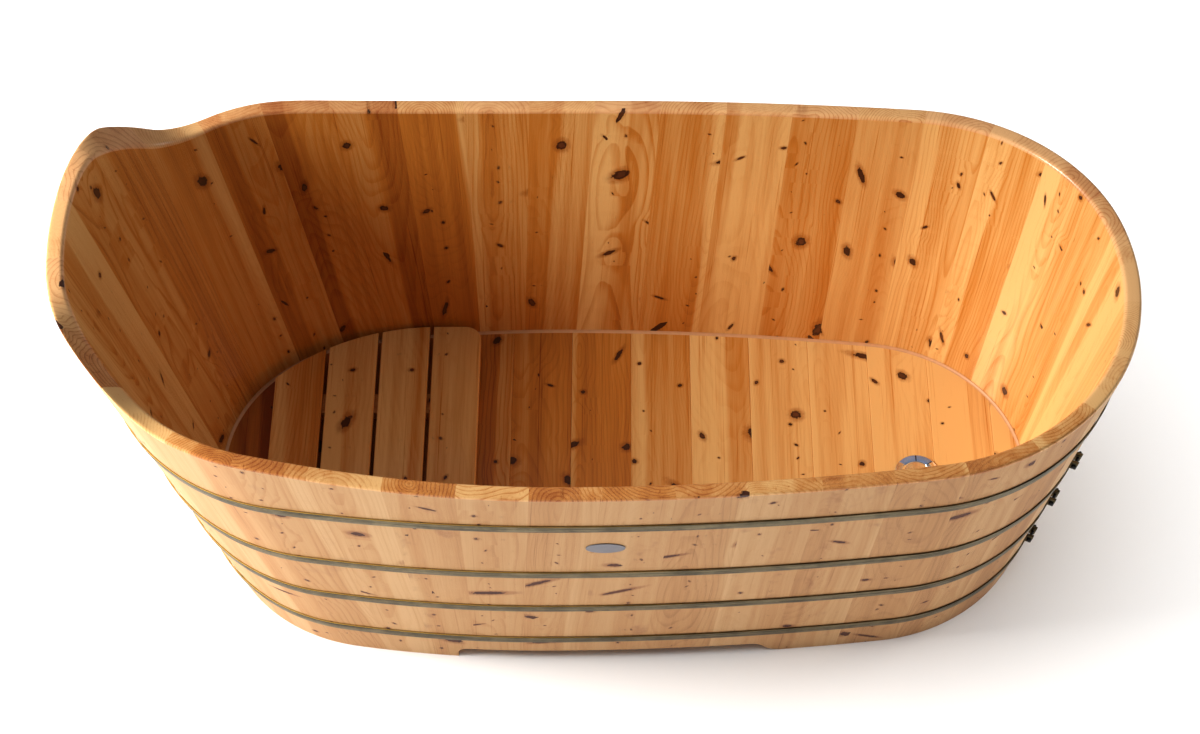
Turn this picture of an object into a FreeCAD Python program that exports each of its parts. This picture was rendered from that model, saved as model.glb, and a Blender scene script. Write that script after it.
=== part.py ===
import FreeCAD, Part
import math
import os

# A free-standing coopered bathtub: tapered staves held by four hoops round a grooved-in floor.
# Lengths are in millimetres and angles in degrees. X runs from the head end to the foot end,
# Y from the front to the back and Z up. Stations along X are counted from the waist, the widest
# place of the rim, and the finished pieces are moved so that the middle of the length is at zero.
# A bearing is the direction that the wall faces: 0 at the foot end, 90 at the back, 180 at the
# head end and 270 at the front. An inset is measured level, inwards from the wall's outer face.

# Outline of the wall's outer face, at the rim over the waist and on the ground
rim_height = 515.0
rim_half_width = 382.5
rim_head_reach = 686.0
rim_foot_reach = 820.5
base_half_width = 291.0
base_head_reach = 499.0
base_foot_reach = 748.0
base_waist_setback = 41.0
wall_thickness = 24.5

# Each quarter of the outline is a side arc, a corner arc and an end arc
head_side_turn = 9.5
head_corner_turn = 82.7
foot_side_turn = 7.0
foot_corner_turn = 76.7
head_corner_rim_share = 0.821
head_corner_base_share = 0.887
foot_corner_rim_share = 0.870
foot_corner_base_share = 0.929

# Line of the rim, seen from the side
foot_sheer_rise = 20.0
head_sheer_rise = 38.0
head_sheer_share = 0.70
headrest_rise = 139.0
headrest_depth = 184.0
sweep_radius = 110.0
sweep_angle = 45.0
shoulder_radius = 40.0
rim_outer_round = 5.0
rim_inner_round = 5.0

# Staves, each planed to flat strips that follow the curve of the wall
side_stave_count = 10
end_stave_count = 9
side_stave_width = 100.3
back_joint_station = 41.0
front_joint_station = 55.0
stave_tongue_thickness = 7.0
stave_tongue_height = 6.0
tongue_stop_below_rim = 30.0
joint_fit = 0.15
strip_sag = 0.4
strip_rise = 9.0
round_steps = 2

# Arch between the feet, through the front and the back wall
arch_head_station = -168.0
arch_foot_station = 319.0
arch_height = 27.0
arch_head_inner_round = 17.0
arch_foot_inner_round = 26.0
arch_foot_outer_round = 30.0

# Floor of tongued boards in a groove round the staves, and the bead of sealant round its edge
floor_top = 88.5
floor_thickness = 25.0
croze_height = 14.0
croze_depth = 8.0
floor_edge_fit = 0.5
croze_fit = 0.1
board_width = 94.0
board_tongue_thickness = 8.0
board_tongue_width = 6.0
board_bevel = 0.8
seal_width = 5.0
seal_height = 4.5
seal_crest = 1.2

# Battens under the floor, and their screws
batten_width = 50.0
batten_thickness = 22.0
batten_off_axis = 130.0
batten_end_clearance = 18.0
batten_end_margin = 30.0
screw_shank_radius = 2.0
screw_head_radius = 4.2
screw_head_height = 2.5
screw_bite = 14.0
screw_hole_fit = 0.15
screw_sides = 8
boards_per_screw = 2

# Hoops, listed from the top one down, each drawn together by a bolt through two lugs
hoop_tops = (437.5, 294.0, 183.5, 76.5)
hoop_lug_bearings = (-10.0, -25.0, -24.0, -24.0)
hoop_height = 16.0
hoop_thickness = 2.0
hoop_fit = 0.5
lug_reach = 9.0
lug_thickness = 5.0
lug_opening = 12.0
bolt_radius = 2.4
bolt_hole_fit = 0.15
bolt_seat_fit = 0.1
bolt_head_radius = 4.0
bolt_head_height = 4.0
bolt_head_round = 1.6
bolt_tail = 3.0
bolt_sides = 10
nut_across_flats = 8.0
nut_height = 4.0
nut_sides = 6

# Waste fitting in the floor
drain_from_foot = 213.0
drain_from_joint = 65.0
drain_station = base_foot_reach - drain_from_foot
board_joint_station = drain_station - drain_from_joint
drain_off_axis = -8.0
gasket_thickness = 1.2
washer_thickness = 2.0
washer_inset = 1.5
flange_radius = 33.0
flange_edge = 0.8
flange_crown = 3.0
flange_lip = 2.5
mouth_radius = 19.0
seat_cone_depth = 6.0
waste_bore = 16.0
waste_body_radius = 20.5
waste_body_drop = 50.0
waste_hole_fit = 0.5
thread_fit = 0.1
spider_depth = 16.0
spider_height = 7.0
spider_arm = 3.0
spider_arm_count = 3
spider_hub_radius = 7.0
locknut_across_flats = 54.0
locknut_height = 11.0
collar_radius = 25.0
collar_height = 18.0
collar_overlap = 10.0
tail_radius = 19.0
tail_bore = 16.5
tail_length = 20.0
drain_sides = 24

# Stopper of the waste fitting, on a stem that slides in the spider
stopper_below_lip = 1.0
stopper_depth = 4.0
stopper_crown = 1.6
stopper_edge = 3.0
stopper_seat_fit = 0.3
stem_radius = 4.0
stem_running_fit = 0.05
stem_length = 30.0

# Slatted seat board standing loose on the floor at the head end
slat_count = 4
slat_width = 76.0
slat_gap = 6.0
slat_thickness = 14.0
slat_chamfer = 2.0
seat_head_clearance = 78.0
seat_side_clearance = 18.0
seat_corner_radius = 26.0
seat_curve_run = 252.0
seat_curve_radius = 355.0
bearer_width = 38.0
bearer_height = 16.0
bearer_off_axis = 120.0
bearer_end_margin = 8.0
lift_off_fit = 0.2
seat_screw_radius = 2.0
seat_screw_head_radius = 4.0
seat_screw_head_height = 3.0
seat_screw_sink = 1.0
seat_screw_bite = 9.0

# Plain oval plate on the front
badge_station = 58.0
badge_below_hoop = 51.5
badge_height = hoop_tops[0] - hoop_height - badge_below_hoop
badge_half_length = 28.0
badge_half_height = 14.0
badge_thickness = 1.5
badge_fit = 0.2
badge_sides = 24

# Working values
full_turn = 360.0
half_turn = 180.0
quarter_turn = 90.0
half = 0.5
overrun = 2.0
angle_speck = 1e-3
settling_rounds = 14
halvings = 50
cut_reach = 2.0 * (rim_head_reach + rim_foot_reach)
floor_bottom = floor_top - floor_thickness
up = FreeCAD.Vector(0, 0, 1)
along_y = FreeCAD.Vector(0, 1, 0)


def point(x, y, z):
    """A point of the tub."""
    return FreeCAD.Vector(x, y, z)


def normal(bearing):
    """Level direction that points out of the wall at a bearing."""
    return point(math.cos(math.radians(bearing)), math.sin(math.radians(bearing)), 0)


def tangent(bearing):
    """Level direction along the wall, anticlockwise seen from above."""
    return normal(bearing + quarter_turn)


def solve_radii(reach, half_width, corner_radius, side_turn, corner_turn):
    """Side and end radius that close a quarter of the outline about its corner arc."""
    side_sin = math.sin(math.radians(side_turn))
    side_cos = math.cos(math.radians(side_turn))
    end_sin = math.sin(math.radians(corner_turn))
    end_cos = math.cos(math.radians(corner_turn))
    reach_left = reach - corner_radius * (end_sin - side_sin)
    width_left = half_width - corner_radius * (side_cos - end_cos)
    span = side_sin * end_cos - (1 - end_sin) * (1 - side_cos)
    side_radius = (reach_left * end_cos - width_left * (1 - end_sin)) / span
    end_radius = (width_left * side_sin - reach_left * (1 - side_cos)) / span
    return side_radius, end_radius


def blend(base_value, rim_value, level):
    """Value at a level, on a straight line from the ground to the rim."""
    return base_value + (rim_value - base_value) * level / rim_height


head_corner_rim = rim_half_width * head_corner_rim_share
head_corner_base = base_half_width * head_corner_base_share
foot_corner_rim = rim_half_width * foot_corner_rim_share
foot_corner_base = base_half_width * foot_corner_base_share
head_side_rim, head_end_rim = solve_radii(
    rim_head_reach, rim_half_width, head_corner_rim, head_side_turn, head_corner_turn)
head_side_base, head_end_base = solve_radii(
    base_head_reach, base_half_width, head_corner_base, head_side_turn, head_corner_turn)
foot_side_rim, foot_end_rim = solve_radii(
    rim_foot_reach, rim_half_width, foot_corner_rim, foot_side_turn, foot_corner_turn)
foot_side_base, foot_end_base = solve_radii(
    base_foot_reach, base_half_width, foot_corner_base, foot_side_turn, foot_corner_turn)


def quarter_arcs(level, to_foot, to_back):
    """Centre and radius of the side, corner and end arc of one quarter at a level."""
    if to_foot > 0:
        side_radius = blend(foot_side_base, foot_side_rim, level)
        corner_radius = blend(foot_corner_base, foot_corner_rim, level)
        end_radius = blend(foot_end_base, foot_end_rim, level)
        side_turn = foot_side_turn
        corner_turn = foot_corner_turn
    else:
        side_radius = blend(head_side_base, head_side_rim, level)
        corner_radius = blend(head_corner_base, head_corner_rim, level)
        end_radius = blend(head_end_base, head_end_rim, level)
        side_turn = head_side_turn
        corner_turn = head_corner_turn
    waist = blend(-base_waist_setback, 0, level)
    half_width = blend(base_half_width, rim_half_width, level)
    side_way = normal(quarter_turn - side_turn)
    corner_way = normal(quarter_turn - corner_turn)
    side_centre = point(waist, to_back * (half_width - side_radius), level)
    corner_centre = side_centre + point(
        to_foot * side_way.x, to_back * side_way.y, 0) * (side_radius - corner_radius)
    end_centre = corner_centre + point(
        to_foot * corner_way.x, to_back * corner_way.y, 0) * (corner_radius - end_radius)
    return (side_centre, side_radius), (corner_centre, corner_radius), (end_centre, end_radius)


def wall_arcs(level):
    """Arcs of the wall's outer face as (first bearing, last bearing, centre, radius),
    anticlockwise from the middle of the back."""
    back_head = quarter_arcs(level, -1, 1)
    front_head = quarter_arcs(level, -1, -1)
    front_foot = quarter_arcs(level, 1, -1)
    back_foot = quarter_arcs(level, 1, 1)
    turns = [0, head_side_turn, head_corner_turn]
    turns.append(half_turn - head_corner_turn)
    turns.append(half_turn - head_side_turn)
    turns.append(half_turn)
    turns.append(half_turn + foot_side_turn)
    turns.append(half_turn + foot_corner_turn)
    turns.append(full_turn - foot_corner_turn)
    turns.append(full_turn - foot_side_turn)
    turns.append(full_turn)
    circles = [*back_head, *reversed(front_head[:2]), *front_foot, *reversed(back_foot[:2])]
    arcs = []
    for start, end, circle in zip(turns[:-1], turns[1:], circles):
        arcs.append((quarter_turn + start, quarter_turn + end, *circle))
    return arcs


def arcs_between(level, first, last):
    """Stretches of the wall's arcs between two bearings at a level."""
    found = []
    for lap in (-full_turn, 0, full_turn):
        for start, end, centre, radius in wall_arcs(level):
            low = max(first, start + lap)
            high = min(last, end + lap)
            if high - low > angle_speck:
                found.append((low, high, centre, radius))
    return found


def arc_at(bearing, level):
    """Centre and radius of the wall's arc at a bearing and level."""
    within_lap = (bearing - quarter_turn) % full_turn + quarter_turn
    for start, end, centre, radius in wall_arcs(level):
        if start <= within_lap <= end:
            return centre, radius


def wall_point(bearing, level, inset):
    """Point of the wall at a bearing and level, an inset inside its outer face."""
    centre, radius = arc_at(bearing, level)
    return centre + normal(bearing) * (radius - inset)


def strip_bearings(first, last, rise_at):
    """Bearings from first to last that part the wall into flat strips. Each change of arc has
    one, no strip sags more than the strip sag, and none rises more than the strip rise by a
    function that gives a height at a bearing."""
    bearings = [first]
    for low, high, centre, radius in arcs_between(rim_height, first, last):
        sag_turn = 2.0 * math.degrees(math.acos(1 - strip_sag / radius))
        rise = abs(rise_at(high) - rise_at(low))
        steps = max(math.ceil((high - low) / sag_turn), math.ceil(rise / strip_rise))
        for step in range(steps):
            bearings.append(low + (high - low) * (step + 1) / steps)
    return bearings


def level_bearings(first, last):
    """Bearings of the flat strips of a piece that lies level."""
    return strip_bearings(first, last, lambda bearing: 0)


def bearing_where(measure, start, end, wanted):
    """Bearing between two where a measure of the wall rises to a wanted value."""
    for halving in range(halvings):
        middle = (start + end) * half
        if measure(middle) < wanted:
            start = middle
        else:
            end = middle
    return end


def panel(corners):
    """Flat face with the given corners."""
    return Part.Face(Part.makePolygon([*corners, corners[0]]))


def ring_panel(one, other):
    """Flat face between two closed level outlines, one inside the other."""
    wires = [Part.makePolygon([*corners, corners[0]]) for corners in (one, other)]
    return Part.makeFace(wires, "Part::FaceMakerBullseye")


def side_panels(lows, highs):
    """Flat faces between two closed level outlines whose sides are parallel."""
    count = len(lows)
    panels = []
    for number in range(count):
        after = (number + 1) % count
        panels.append(panel([lows[number], lows[after], highs[after], highs[number]]))
    return panels


def solid_of(faces):
    """Solid closed by faces that meet edge to edge."""
    solid = Part.makeSolid(Part.makeShell(faces))
    if solid.Volume < 0:
        solid.reverse()
    return solid


def slab(lows, highs):
    """Solid between two level outlines whose sides are parallel."""
    return solid_of([panel(lows), panel(highs), *side_panels(lows, highs)])


def ring_corners(level, inset):
    """Corners of the level outline all round the tub at an inset."""
    bearings = level_bearings(quarter_turn, quarter_turn + full_turn)
    return [wall_point(bearing, level, inset) for bearing in bearings[:-1]]


def tub_fill(low, high, inset):
    """Solid that fills the tub up to an inset between two levels; it leans as the wall does."""
    return slab(ring_corners(low, inset), ring_corners(high, inset))


def box(x_low, x_high, y_low, y_high, low, high):
    """Box between two corners."""
    return Part.makeBox(x_high - x_low, y_high - y_low, high - low, point(x_low, y_low, low))


def side_prism(outline):
    """Prism across the whole tub from an outline of (station, level) points."""
    corners = [point(x, -cut_reach * half, z) for x, z in [*outline, outline[0]]]
    return Part.Face(Part.makePolygon(corners)).extrude(along_y * cut_reach)


def prism(radius, sides, low, high, x, y):
    """Upright prism with equal sides whose flats lie at a radius, such as a nut."""
    reach = radius / math.cos(math.pi / sides)
    corners = [point(x, y, low) + normal(full_turn * side / sides) * reach
               for side in range(sides)]
    return panel(corners).extrude(up * (high - low))


def turned(outline):
    """Solid turned about the Z axis from an outline of (radius, level) points."""
    corners = [point(radius, 0, level) for radius, level in [*outline, outline[0]]]
    return Part.Face(Part.makePolygon(corners)).revolve(point(0, 0, 0), up, full_turn)


def many_sided(outline, sides):
    """Solid about the Z axis with flat sides, from a closed outline of (radius, level) points.
    The radii are those of the flats, and a zero radius lies on the axis."""
    reach = 1 / math.cos(math.pi / sides)
    ways = [normal(full_turn * side / sides) * reach for side in range(sides)]
    faces = []
    for (start_radius, start), (end_radius, end) in zip(outline, [*outline[1:], outline[0]]):
        first = [way * start_radius + up * start for way in ways]
        second = [way * end_radius + up * end for way in ways]
        if start != end and start_radius + end_radius > 0:
            faces.extend(side_panels(first, second))
        elif start_radius > 0 and end_radius > 0:
            faces.append(ring_panel(first, second))
        elif start_radius + end_radius > 0:
            faces.append(panel(first if start_radius > 0 else second))
    return solid_of(faces)


def moved(solid, place, way):
    """Solid moved from the origin to a place, with its Z axis turned to a way."""
    solid.Placement = FreeCAD.Placement(place, FreeCAD.Rotation(up, way))
    return solid


# Line of the rim, in stretches from the waist towards the head end
head_end_top = blend(base_head_reach + base_waist_setback, rim_head_reach, rim_height + headrest_rise)
sweep_station = head_end_top - headrest_depth
sheer_angle = 2.0 * math.degrees(math.atan2(head_sheer_rise, sweep_station))
sheer_run = sweep_station / math.sin(math.radians(sheer_angle))
sweep_rise = sweep_radius * (1 - math.cos(math.radians(sweep_angle)))
shoulder_rise = shoulder_radius * (1 - math.cos(math.radians(sweep_angle)))
ramp_rise = headrest_rise - head_sheer_rise - sweep_rise - shoulder_rise
ramp_length = ramp_rise / math.sin(math.radians(sweep_angle))
foot_sheer_radius = (rim_foot_reach ** 2 + foot_sheer_rise ** 2) / (2.0 * foot_sheer_rise)


def side_view_way(slope):
    """Direction towards the head end at a slope, in the side view."""
    return point(-math.cos(math.radians(slope)), 0, math.sin(math.radians(slope)))


def head_rim_line():
    """Stretches of the rim line towards the head end as (start, end, centre, radius, bend);
    bend is 1 where the line curves up, -1 where it curves down and 0 where it is straight."""
    steps = [
        (sheer_run * head_sheer_share, sheer_angle),
        (sheer_run * (1 - head_sheer_share), -sheer_angle),
        (sweep_radius, sweep_angle),
        (ramp_length, 0),
        (shoulder_radius, -sweep_angle)]
    stretches = []
    place = point(0, 0, rim_height)
    slope = 0
    for size, turn in steps:
        if turn == 0:
            bend = 0
            centre = place
            end = place + side_view_way(slope) * size
        else:
            bend = 1 if turn > 0 else -1
            centre = place + side_view_way(slope + quarter_turn) * (size * bend)
            end = centre - side_view_way(slope + turn + quarter_turn) * (size * bend)
        stretches.append((place, end, centre, size, bend))
        place = end
        slope = slope + turn
    return stretches


head_stretches = head_rim_line()


def rim_level(x):
    """Height of the rim line at a station."""
    if x > 0:
        return rim_height + foot_sheer_radius - math.sqrt(foot_sheer_radius ** 2 - x ** 2)
    for start, end, centre, radius, bend in head_stretches:
        if x >= end.x and bend == 0:
            return start.z + (end.z - start.z) * (x - start.x) / (end.x - start.x)
        if x >= end.x:
            return centre.z - bend * math.sqrt(radius ** 2 - (x - centre.x) ** 2)
    return rim_height + headrest_rise


def top_level(bearing, inset):
    """Level at which the leaning wall meets the rim line."""
    level = rim_height
    for settling in range(settling_rounds):
        level = rim_level(wall_point(bearing, level, inset).x)
    return level


def rounding(radius):
    """Quarter round of an edge as (way in from the face, drop below the top) points."""
    steps = []
    for step in range(round_steps + 1):
        turn = math.radians(quarter_turn * step / round_steps)
        steps.append((radius * (1 - math.cos(turn)), radius * (1 - math.sin(turn))))
    return steps


def wall_section(bearing):
    """Corners of the wall at a bearing: outer foot, rounded rim and inner foot."""
    outer_top = top_level(bearing, 0)
    inner_top = top_level(bearing, wall_thickness)
    edge = rounding(rim_outer_round)
    edge.extend((wall_thickness - inset, drop) for inset, drop in reversed(rounding(rim_inner_round)))
    corners = [wall_point(bearing, 0, 0)]
    for inset, drop in edge:
        level = outer_top + (inner_top - outer_top) * inset / wall_thickness - drop
        corners.append(wall_point(bearing, level, inset))
    corners.append(wall_point(bearing, 0, wall_thickness))
    return corners


def stave_blank(first, last):
    """Stave without its joints: flat strips outside and inside, and a rim of narrow ruled
    faces that carries the rounding along."""
    sections = []
    for bearing in strip_bearings(first, last, lambda place: top_level(place, 0)):
        sections.append(wall_section(bearing))
    outside, inside = [], []
    faces = [panel(sections[0]), panel(sections[-1])]
    for left, right in zip(sections[:-1], sections[1:]):
        faces.append(panel([left[0], right[0], right[1], left[1]]))
        faces.append(panel([left[-2], right[-2], right[-1], left[-1]]))
        for step in range(1, len(left) - 2):
            faces.append(Part.makeRuledSurface(
                Part.LineSegment(left[step], right[step]).toShape(),
                Part.LineSegment(left[step + 1], right[step + 1]).toShape()))
    for section in sections:
        outside.append(section[0])
        inside.append(section[-1])
    faces.append(panel([*outside, *reversed(inside)]))
    return solid_of(faces)


# Joints between the staves, counted along the rim outline from the middle of the back
rim_arcs = wall_arcs(rim_height)
rim_lengths = [math.radians(last - first) * radius for first, last, centre, radius in rim_arcs]
rim_girth = sum(rim_lengths)
head_run = 2.0 * sum(rim_lengths[:2]) + rim_lengths[2]


def bearing_along(length):
    """Bearing reached after a length along the rim outline."""
    laps = math.floor(length / rim_girth)
    left = length - laps * rim_girth
    for (first, last, centre, radius), arc_length in zip(rim_arcs, rim_lengths):
        if left <= arc_length:
            break
        left = left - arc_length
    return first + math.degrees(left / radius) + laps * full_turn


def stave_joints():
    """Names and joint bearings of the staves, anticlockwise from the foot end of the back."""
    side_run = side_stave_count * side_stave_width
    back_first = -(back_joint_station + side_run * half)
    back_last = back_first + side_run
    front_first = head_run + front_joint_station - side_run * half
    front_last = front_first + side_run
    foot_last = rim_girth + back_first
    runs = [
        ("back", back_first, back_last, side_stave_count),
        ("head", back_last, front_first, end_stave_count),
        ("front", front_first, front_last, side_stave_count),
        ("foot", front_last, foot_last, end_stave_count)]
    staves = []
    for side, start, end, count in runs:
        width = (end - start) / count
        for number in range(count):
            first = bearing_along(start + width * number)
            last = bearing_along(start + width * (number + 1))
            staves.append((f"stave_{side}_{number + 1:02d}", first, last))
    return staves


def joint_key(bearing, fit):
    """Tongue along the joint at a bearing, or with a fit the groove that takes it. It runs
    from the ground up to a stop, out of sight below the rim."""
    middle = wall_thickness * half
    stop = top_level(bearing, middle) - tongue_stop_below_rim + fit
    foot = wall_point(bearing, 0, middle)
    top = wall_point(bearing, stop, middle)
    across = normal(bearing) * (stave_tongue_thickness * half + fit)
    forward = tangent(bearing) * (stave_tongue_height + fit)
    back = tangent(bearing) * overrun
    corners = [foot - across - back, foot + across - back, foot + across + forward,
               foot - across + forward, foot - across - back]
    return Part.Face(Part.makePolygon(corners)).extrude(top - foot)


def arch_block():
    """Block cut out between the feet, through both long walls."""
    top = arch_height
    head_round = arch_head_inner_round
    foot_round = arch_foot_inner_round
    toe_round = arch_foot_outer_round
    rounds = foot_round + toe_round
    toe_reach = math.sqrt(rounds ** 2 - (rounds - top) ** 2)
    toe_turn = math.acos((rounds - top) / rounds)
    half_toe = toe_turn * half
    meet_share = foot_round / rounds
    foot_start = arch_foot_station - toe_reach
    diagonal = head_round * math.sqrt(half)
    below = -overrun
    head_foot = point(arch_head_station, 0, below)
    head_drop = point(arch_head_station, 0, top - head_round)
    head_middle = point(arch_head_station + head_round - diagonal, 0, top - head_round + diagonal)
    head_start = point(arch_head_station + head_round, 0, top)
    foot_top = point(foot_start, 0, top)
    foot_middle = foot_top + point(
        foot_round * math.sin(half_toe), 0, foot_round * (math.cos(half_toe) - 1))
    meet = point(foot_start + toe_reach * meet_share, 0, top - top * meet_share)
    toe_end = point(arch_foot_station, 0, 0)
    toe_middle = toe_end + point(
        -toe_round * math.sin(half_toe), 0, toe_round * (1 - math.cos(half_toe)))
    foot_foot = point(arch_foot_station, 0, below)
    edges = [
        Part.LineSegment(head_foot, head_drop).toShape(),
        Part.Arc(head_drop, head_middle, head_start).toShape(),
        Part.LineSegment(head_start, foot_top).toShape(),
        Part.Arc(foot_top, foot_middle, meet).toShape(),
        Part.Arc(meet, toe_middle, toe_end).toShape(),
        Part.LineSegment(toe_end, foot_foot).toShape(),
        Part.LineSegment(foot_foot, head_foot).toShape()]
    face = Part.Face(Part.Wire(edges))
    face.translate(along_y * -cut_reach * half)
    return face.extrude(along_y * cut_reach)


feet_arch = arch_block()
croze = tub_fill(floor_bottom, floor_bottom + croze_height, wall_thickness - croze_depth)


def make_stave(first, last):
    """One tapered stave: rounded rim, tongue, groove, floor groove and foot."""
    stave = stave_blank(first, last).fuse(joint_key(last, 0))
    stave = stave.cut(joint_key(first, joint_fit))
    stave = stave.cut(croze)
    stave = stave.cut(feet_arch)
    return stave.Solids[0]


def make_floor():
    """Floor boards from the head end to the foot end, and the stations of their middles."""
    groove_top = floor_bottom + croze_height - croze_fit
    edge = wall_thickness - croze_depth + floor_edge_fit
    rebated = tub_fill(floor_bottom, groove_top, edge)
    raised = tub_fill(groove_top, floor_top, wall_thickness + floor_edge_fit)
    blank = rebated.fuse(raised)
    blank = blank.cut(prism(
        waste_body_radius + waste_hole_fit, drain_sides, floor_bottom - overrun,
        floor_top + overrun, drain_station, drain_off_axis))
    tongue_low = floor_bottom + (floor_thickness - board_tongue_thickness) * half
    tongue_high = tongue_low + board_tongue_thickness
    bevel_way = board_bevel + overrun
    first_board = math.floor((blank.BoundBox.XMin - board_joint_station) / board_width)
    end_board = math.ceil((blank.BoundBox.XMax - board_joint_station) / board_width)
    boards = []
    middles = []
    for number in range(first_board, end_board):
        start = board_joint_station + board_width * number
        end = start + board_width
        tongue_end = end + board_tongue_width
        groove_end = start + board_tongue_width + joint_fit
        outline = [
            (start, floor_bottom - overrun),
            (end, floor_bottom - overrun),
            (end, tongue_low),
            (tongue_end, tongue_low),
            (tongue_end, tongue_high),
            (end, tongue_high),
            (end, floor_top - board_bevel),
            (end - bevel_way, floor_top + overrun),
            (start + bevel_way, floor_top + overrun),
            (start, floor_top - board_bevel),
            (start, tongue_high + joint_fit),
            (groove_end, tongue_high + joint_fit),
            (groove_end, tongue_low - joint_fit),
            (start, tongue_low - joint_fit)]
        boards.append(blank.common(side_prism(outline)).Solids[0])
        middles.append((start + end) * half)
    return boards, middles


def batten_ends():
    """Stations between which a batten lies clear of the leaning end walls."""
    low = floor_bottom - batten_thickness
    side = batten_off_axis + batten_width * half
    inset = wall_thickness + batten_end_clearance

    def off_axis(bearing):
        return wall_point(bearing, low, inset).y

    head_bearing = bearing_where(off_axis, half_turn, quarter_turn, side)
    foot_bearing = bearing_where(off_axis, 0, quarter_turn, side)
    return wall_point(head_bearing, low, inset).x, wall_point(foot_bearing, low, inset).x


def screw(shank, head, head_height, bite):
    """Upright pan-head screw, with its head's underside at level zero."""
    return many_sided([(0, -head_height), (head, -head_height), (head, 0), (shank, 0),
                       (shank, bite), (0, bite)], screw_sides)


def make_floor_frame(boards, middles):
    """Drilled boards, the two battens under them, and the screws."""
    low = floor_bottom - batten_thickness
    head_end, foot_end = batten_ends()
    battens = []
    screws = []
    holes = []
    for side in (-1, 1):
        middle = side * batten_off_axis
        batten = box(head_end, foot_end, middle - batten_width * half,
                     middle + batten_width * half, low, floor_bottom)
        for station in middles[::boards_per_screw]:
            if head_end + batten_end_margin < station < foot_end - batten_end_margin:
                place = point(station, middle, low)
                length = batten_thickness + screw_bite
                screws.append(moved(
                    screw(screw_shank_radius, screw_head_radius, screw_head_height, length),
                    place, up))
                holes.append(prism(
                    screw_shank_radius + screw_hole_fit, screw_sides, low - overrun,
                    floor_bottom + screw_bite + screw_hole_fit, station, middle))
        battens.append(batten)
    drill = Part.makeCompound(holes)
    battens = [batten.cut(drill).Solids[0] for batten in battens]
    boards = [board.cut(drill).Solids[0] for board in boards]
    return boards, battens, screws


def make_seal():
    """Bead of sealant in the corner between the floor and the wall."""
    inset = wall_thickness + floor_edge_fit
    high = floor_top + seal_height
    outer_low = ring_corners(floor_top, inset)
    outer_high = ring_corners(high, inset)
    inner_low = ring_corners(floor_top, inset + seal_width)
    inner_high = ring_corners(high, inset + seal_crest)
    return solid_of([
        *side_panels(outer_low, outer_high), *side_panels(inner_low, inner_high),
        ring_panel(outer_low, inner_low), ring_panel(outer_high, inner_high)])


def lug_block(end_bearing, lug_bearing, way, low, high):
    """Lug that stands out from one end of a hoop."""
    out = normal(lug_bearing) * (hoop_thickness * half + lug_reach)
    along = tangent(lug_bearing) * (lug_thickness * way)
    outlines = []
    for level in (low, high):
        foot = wall_point(end_bearing, level, -(hoop_fit + hoop_thickness * half))
        outlines.append([foot, foot + out, foot + out + along, foot + along])
    return slab(*outlines)


def make_hoop(top, lug_bearing):
    """One open hoop with a lug at each end, and its bolt and nut."""
    low = top - hoop_height
    middle = top - hoop_height * half
    centre, radius = arc_at(lug_bearing, middle)
    gap = math.degrees(lug_opening * half / radius)
    first = lug_bearing + gap
    last = lug_bearing + full_turn - gap
    inner = -hoop_fit
    outer = -(hoop_fit + hoop_thickness)
    bearings = level_bearings(first, last)
    outlines = []
    for level in (low, top):
        corners = [wall_point(bearing, level, outer) for bearing in bearings]
        corners.extend(wall_point(bearing, level, inner) for bearing in reversed(bearings))
        outlines.append(corners)
    hoop = slab(*outlines)
    hoop = hoop.fuse(lug_block(first, lug_bearing, 1, low, top))
    hoop = hoop.fuse(lug_block(last, lug_bearing, -1, low, top))
    way = tangent(lug_bearing)
    bolt_place = wall_point(lug_bearing, middle, outer - lug_reach * half)
    lug_face = lug_opening * half + lug_thickness
    hole = prism(
        bolt_radius + bolt_hole_fit, bolt_sides, -(lug_face + overrun), lug_face + overrun, 0, 0)
    hoop = hoop.cut(moved(hole, bolt_place, way))
    head_seat = -(lug_face + bolt_seat_fit)
    nut_seat = lug_face + bolt_seat_fit
    tail = nut_seat + nut_height + bolt_tail
    head_top = head_seat - bolt_head_height
    bolt = many_sided([
        (0, head_top),
        (bolt_head_radius - bolt_head_round, head_top),
        (bolt_head_radius, head_top + bolt_head_round),
        (bolt_head_radius, head_seat),
        (bolt_radius, head_seat),
        (bolt_radius, tail),
        (0, tail)], bolt_sides)
    nut = prism(nut_across_flats * half, nut_sides, nut_seat, nut_seat + nut_height, 0, 0)
    nut = nut.cut(prism(
        bolt_radius + bolt_hole_fit, bolt_sides, nut_seat - overrun,
        nut_seat + nut_height + overrun, 0, 0))
    return hoop.Solids[0], moved(bolt, bolt_place, way), moved(nut.Solids[0], bolt_place, way)


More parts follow.
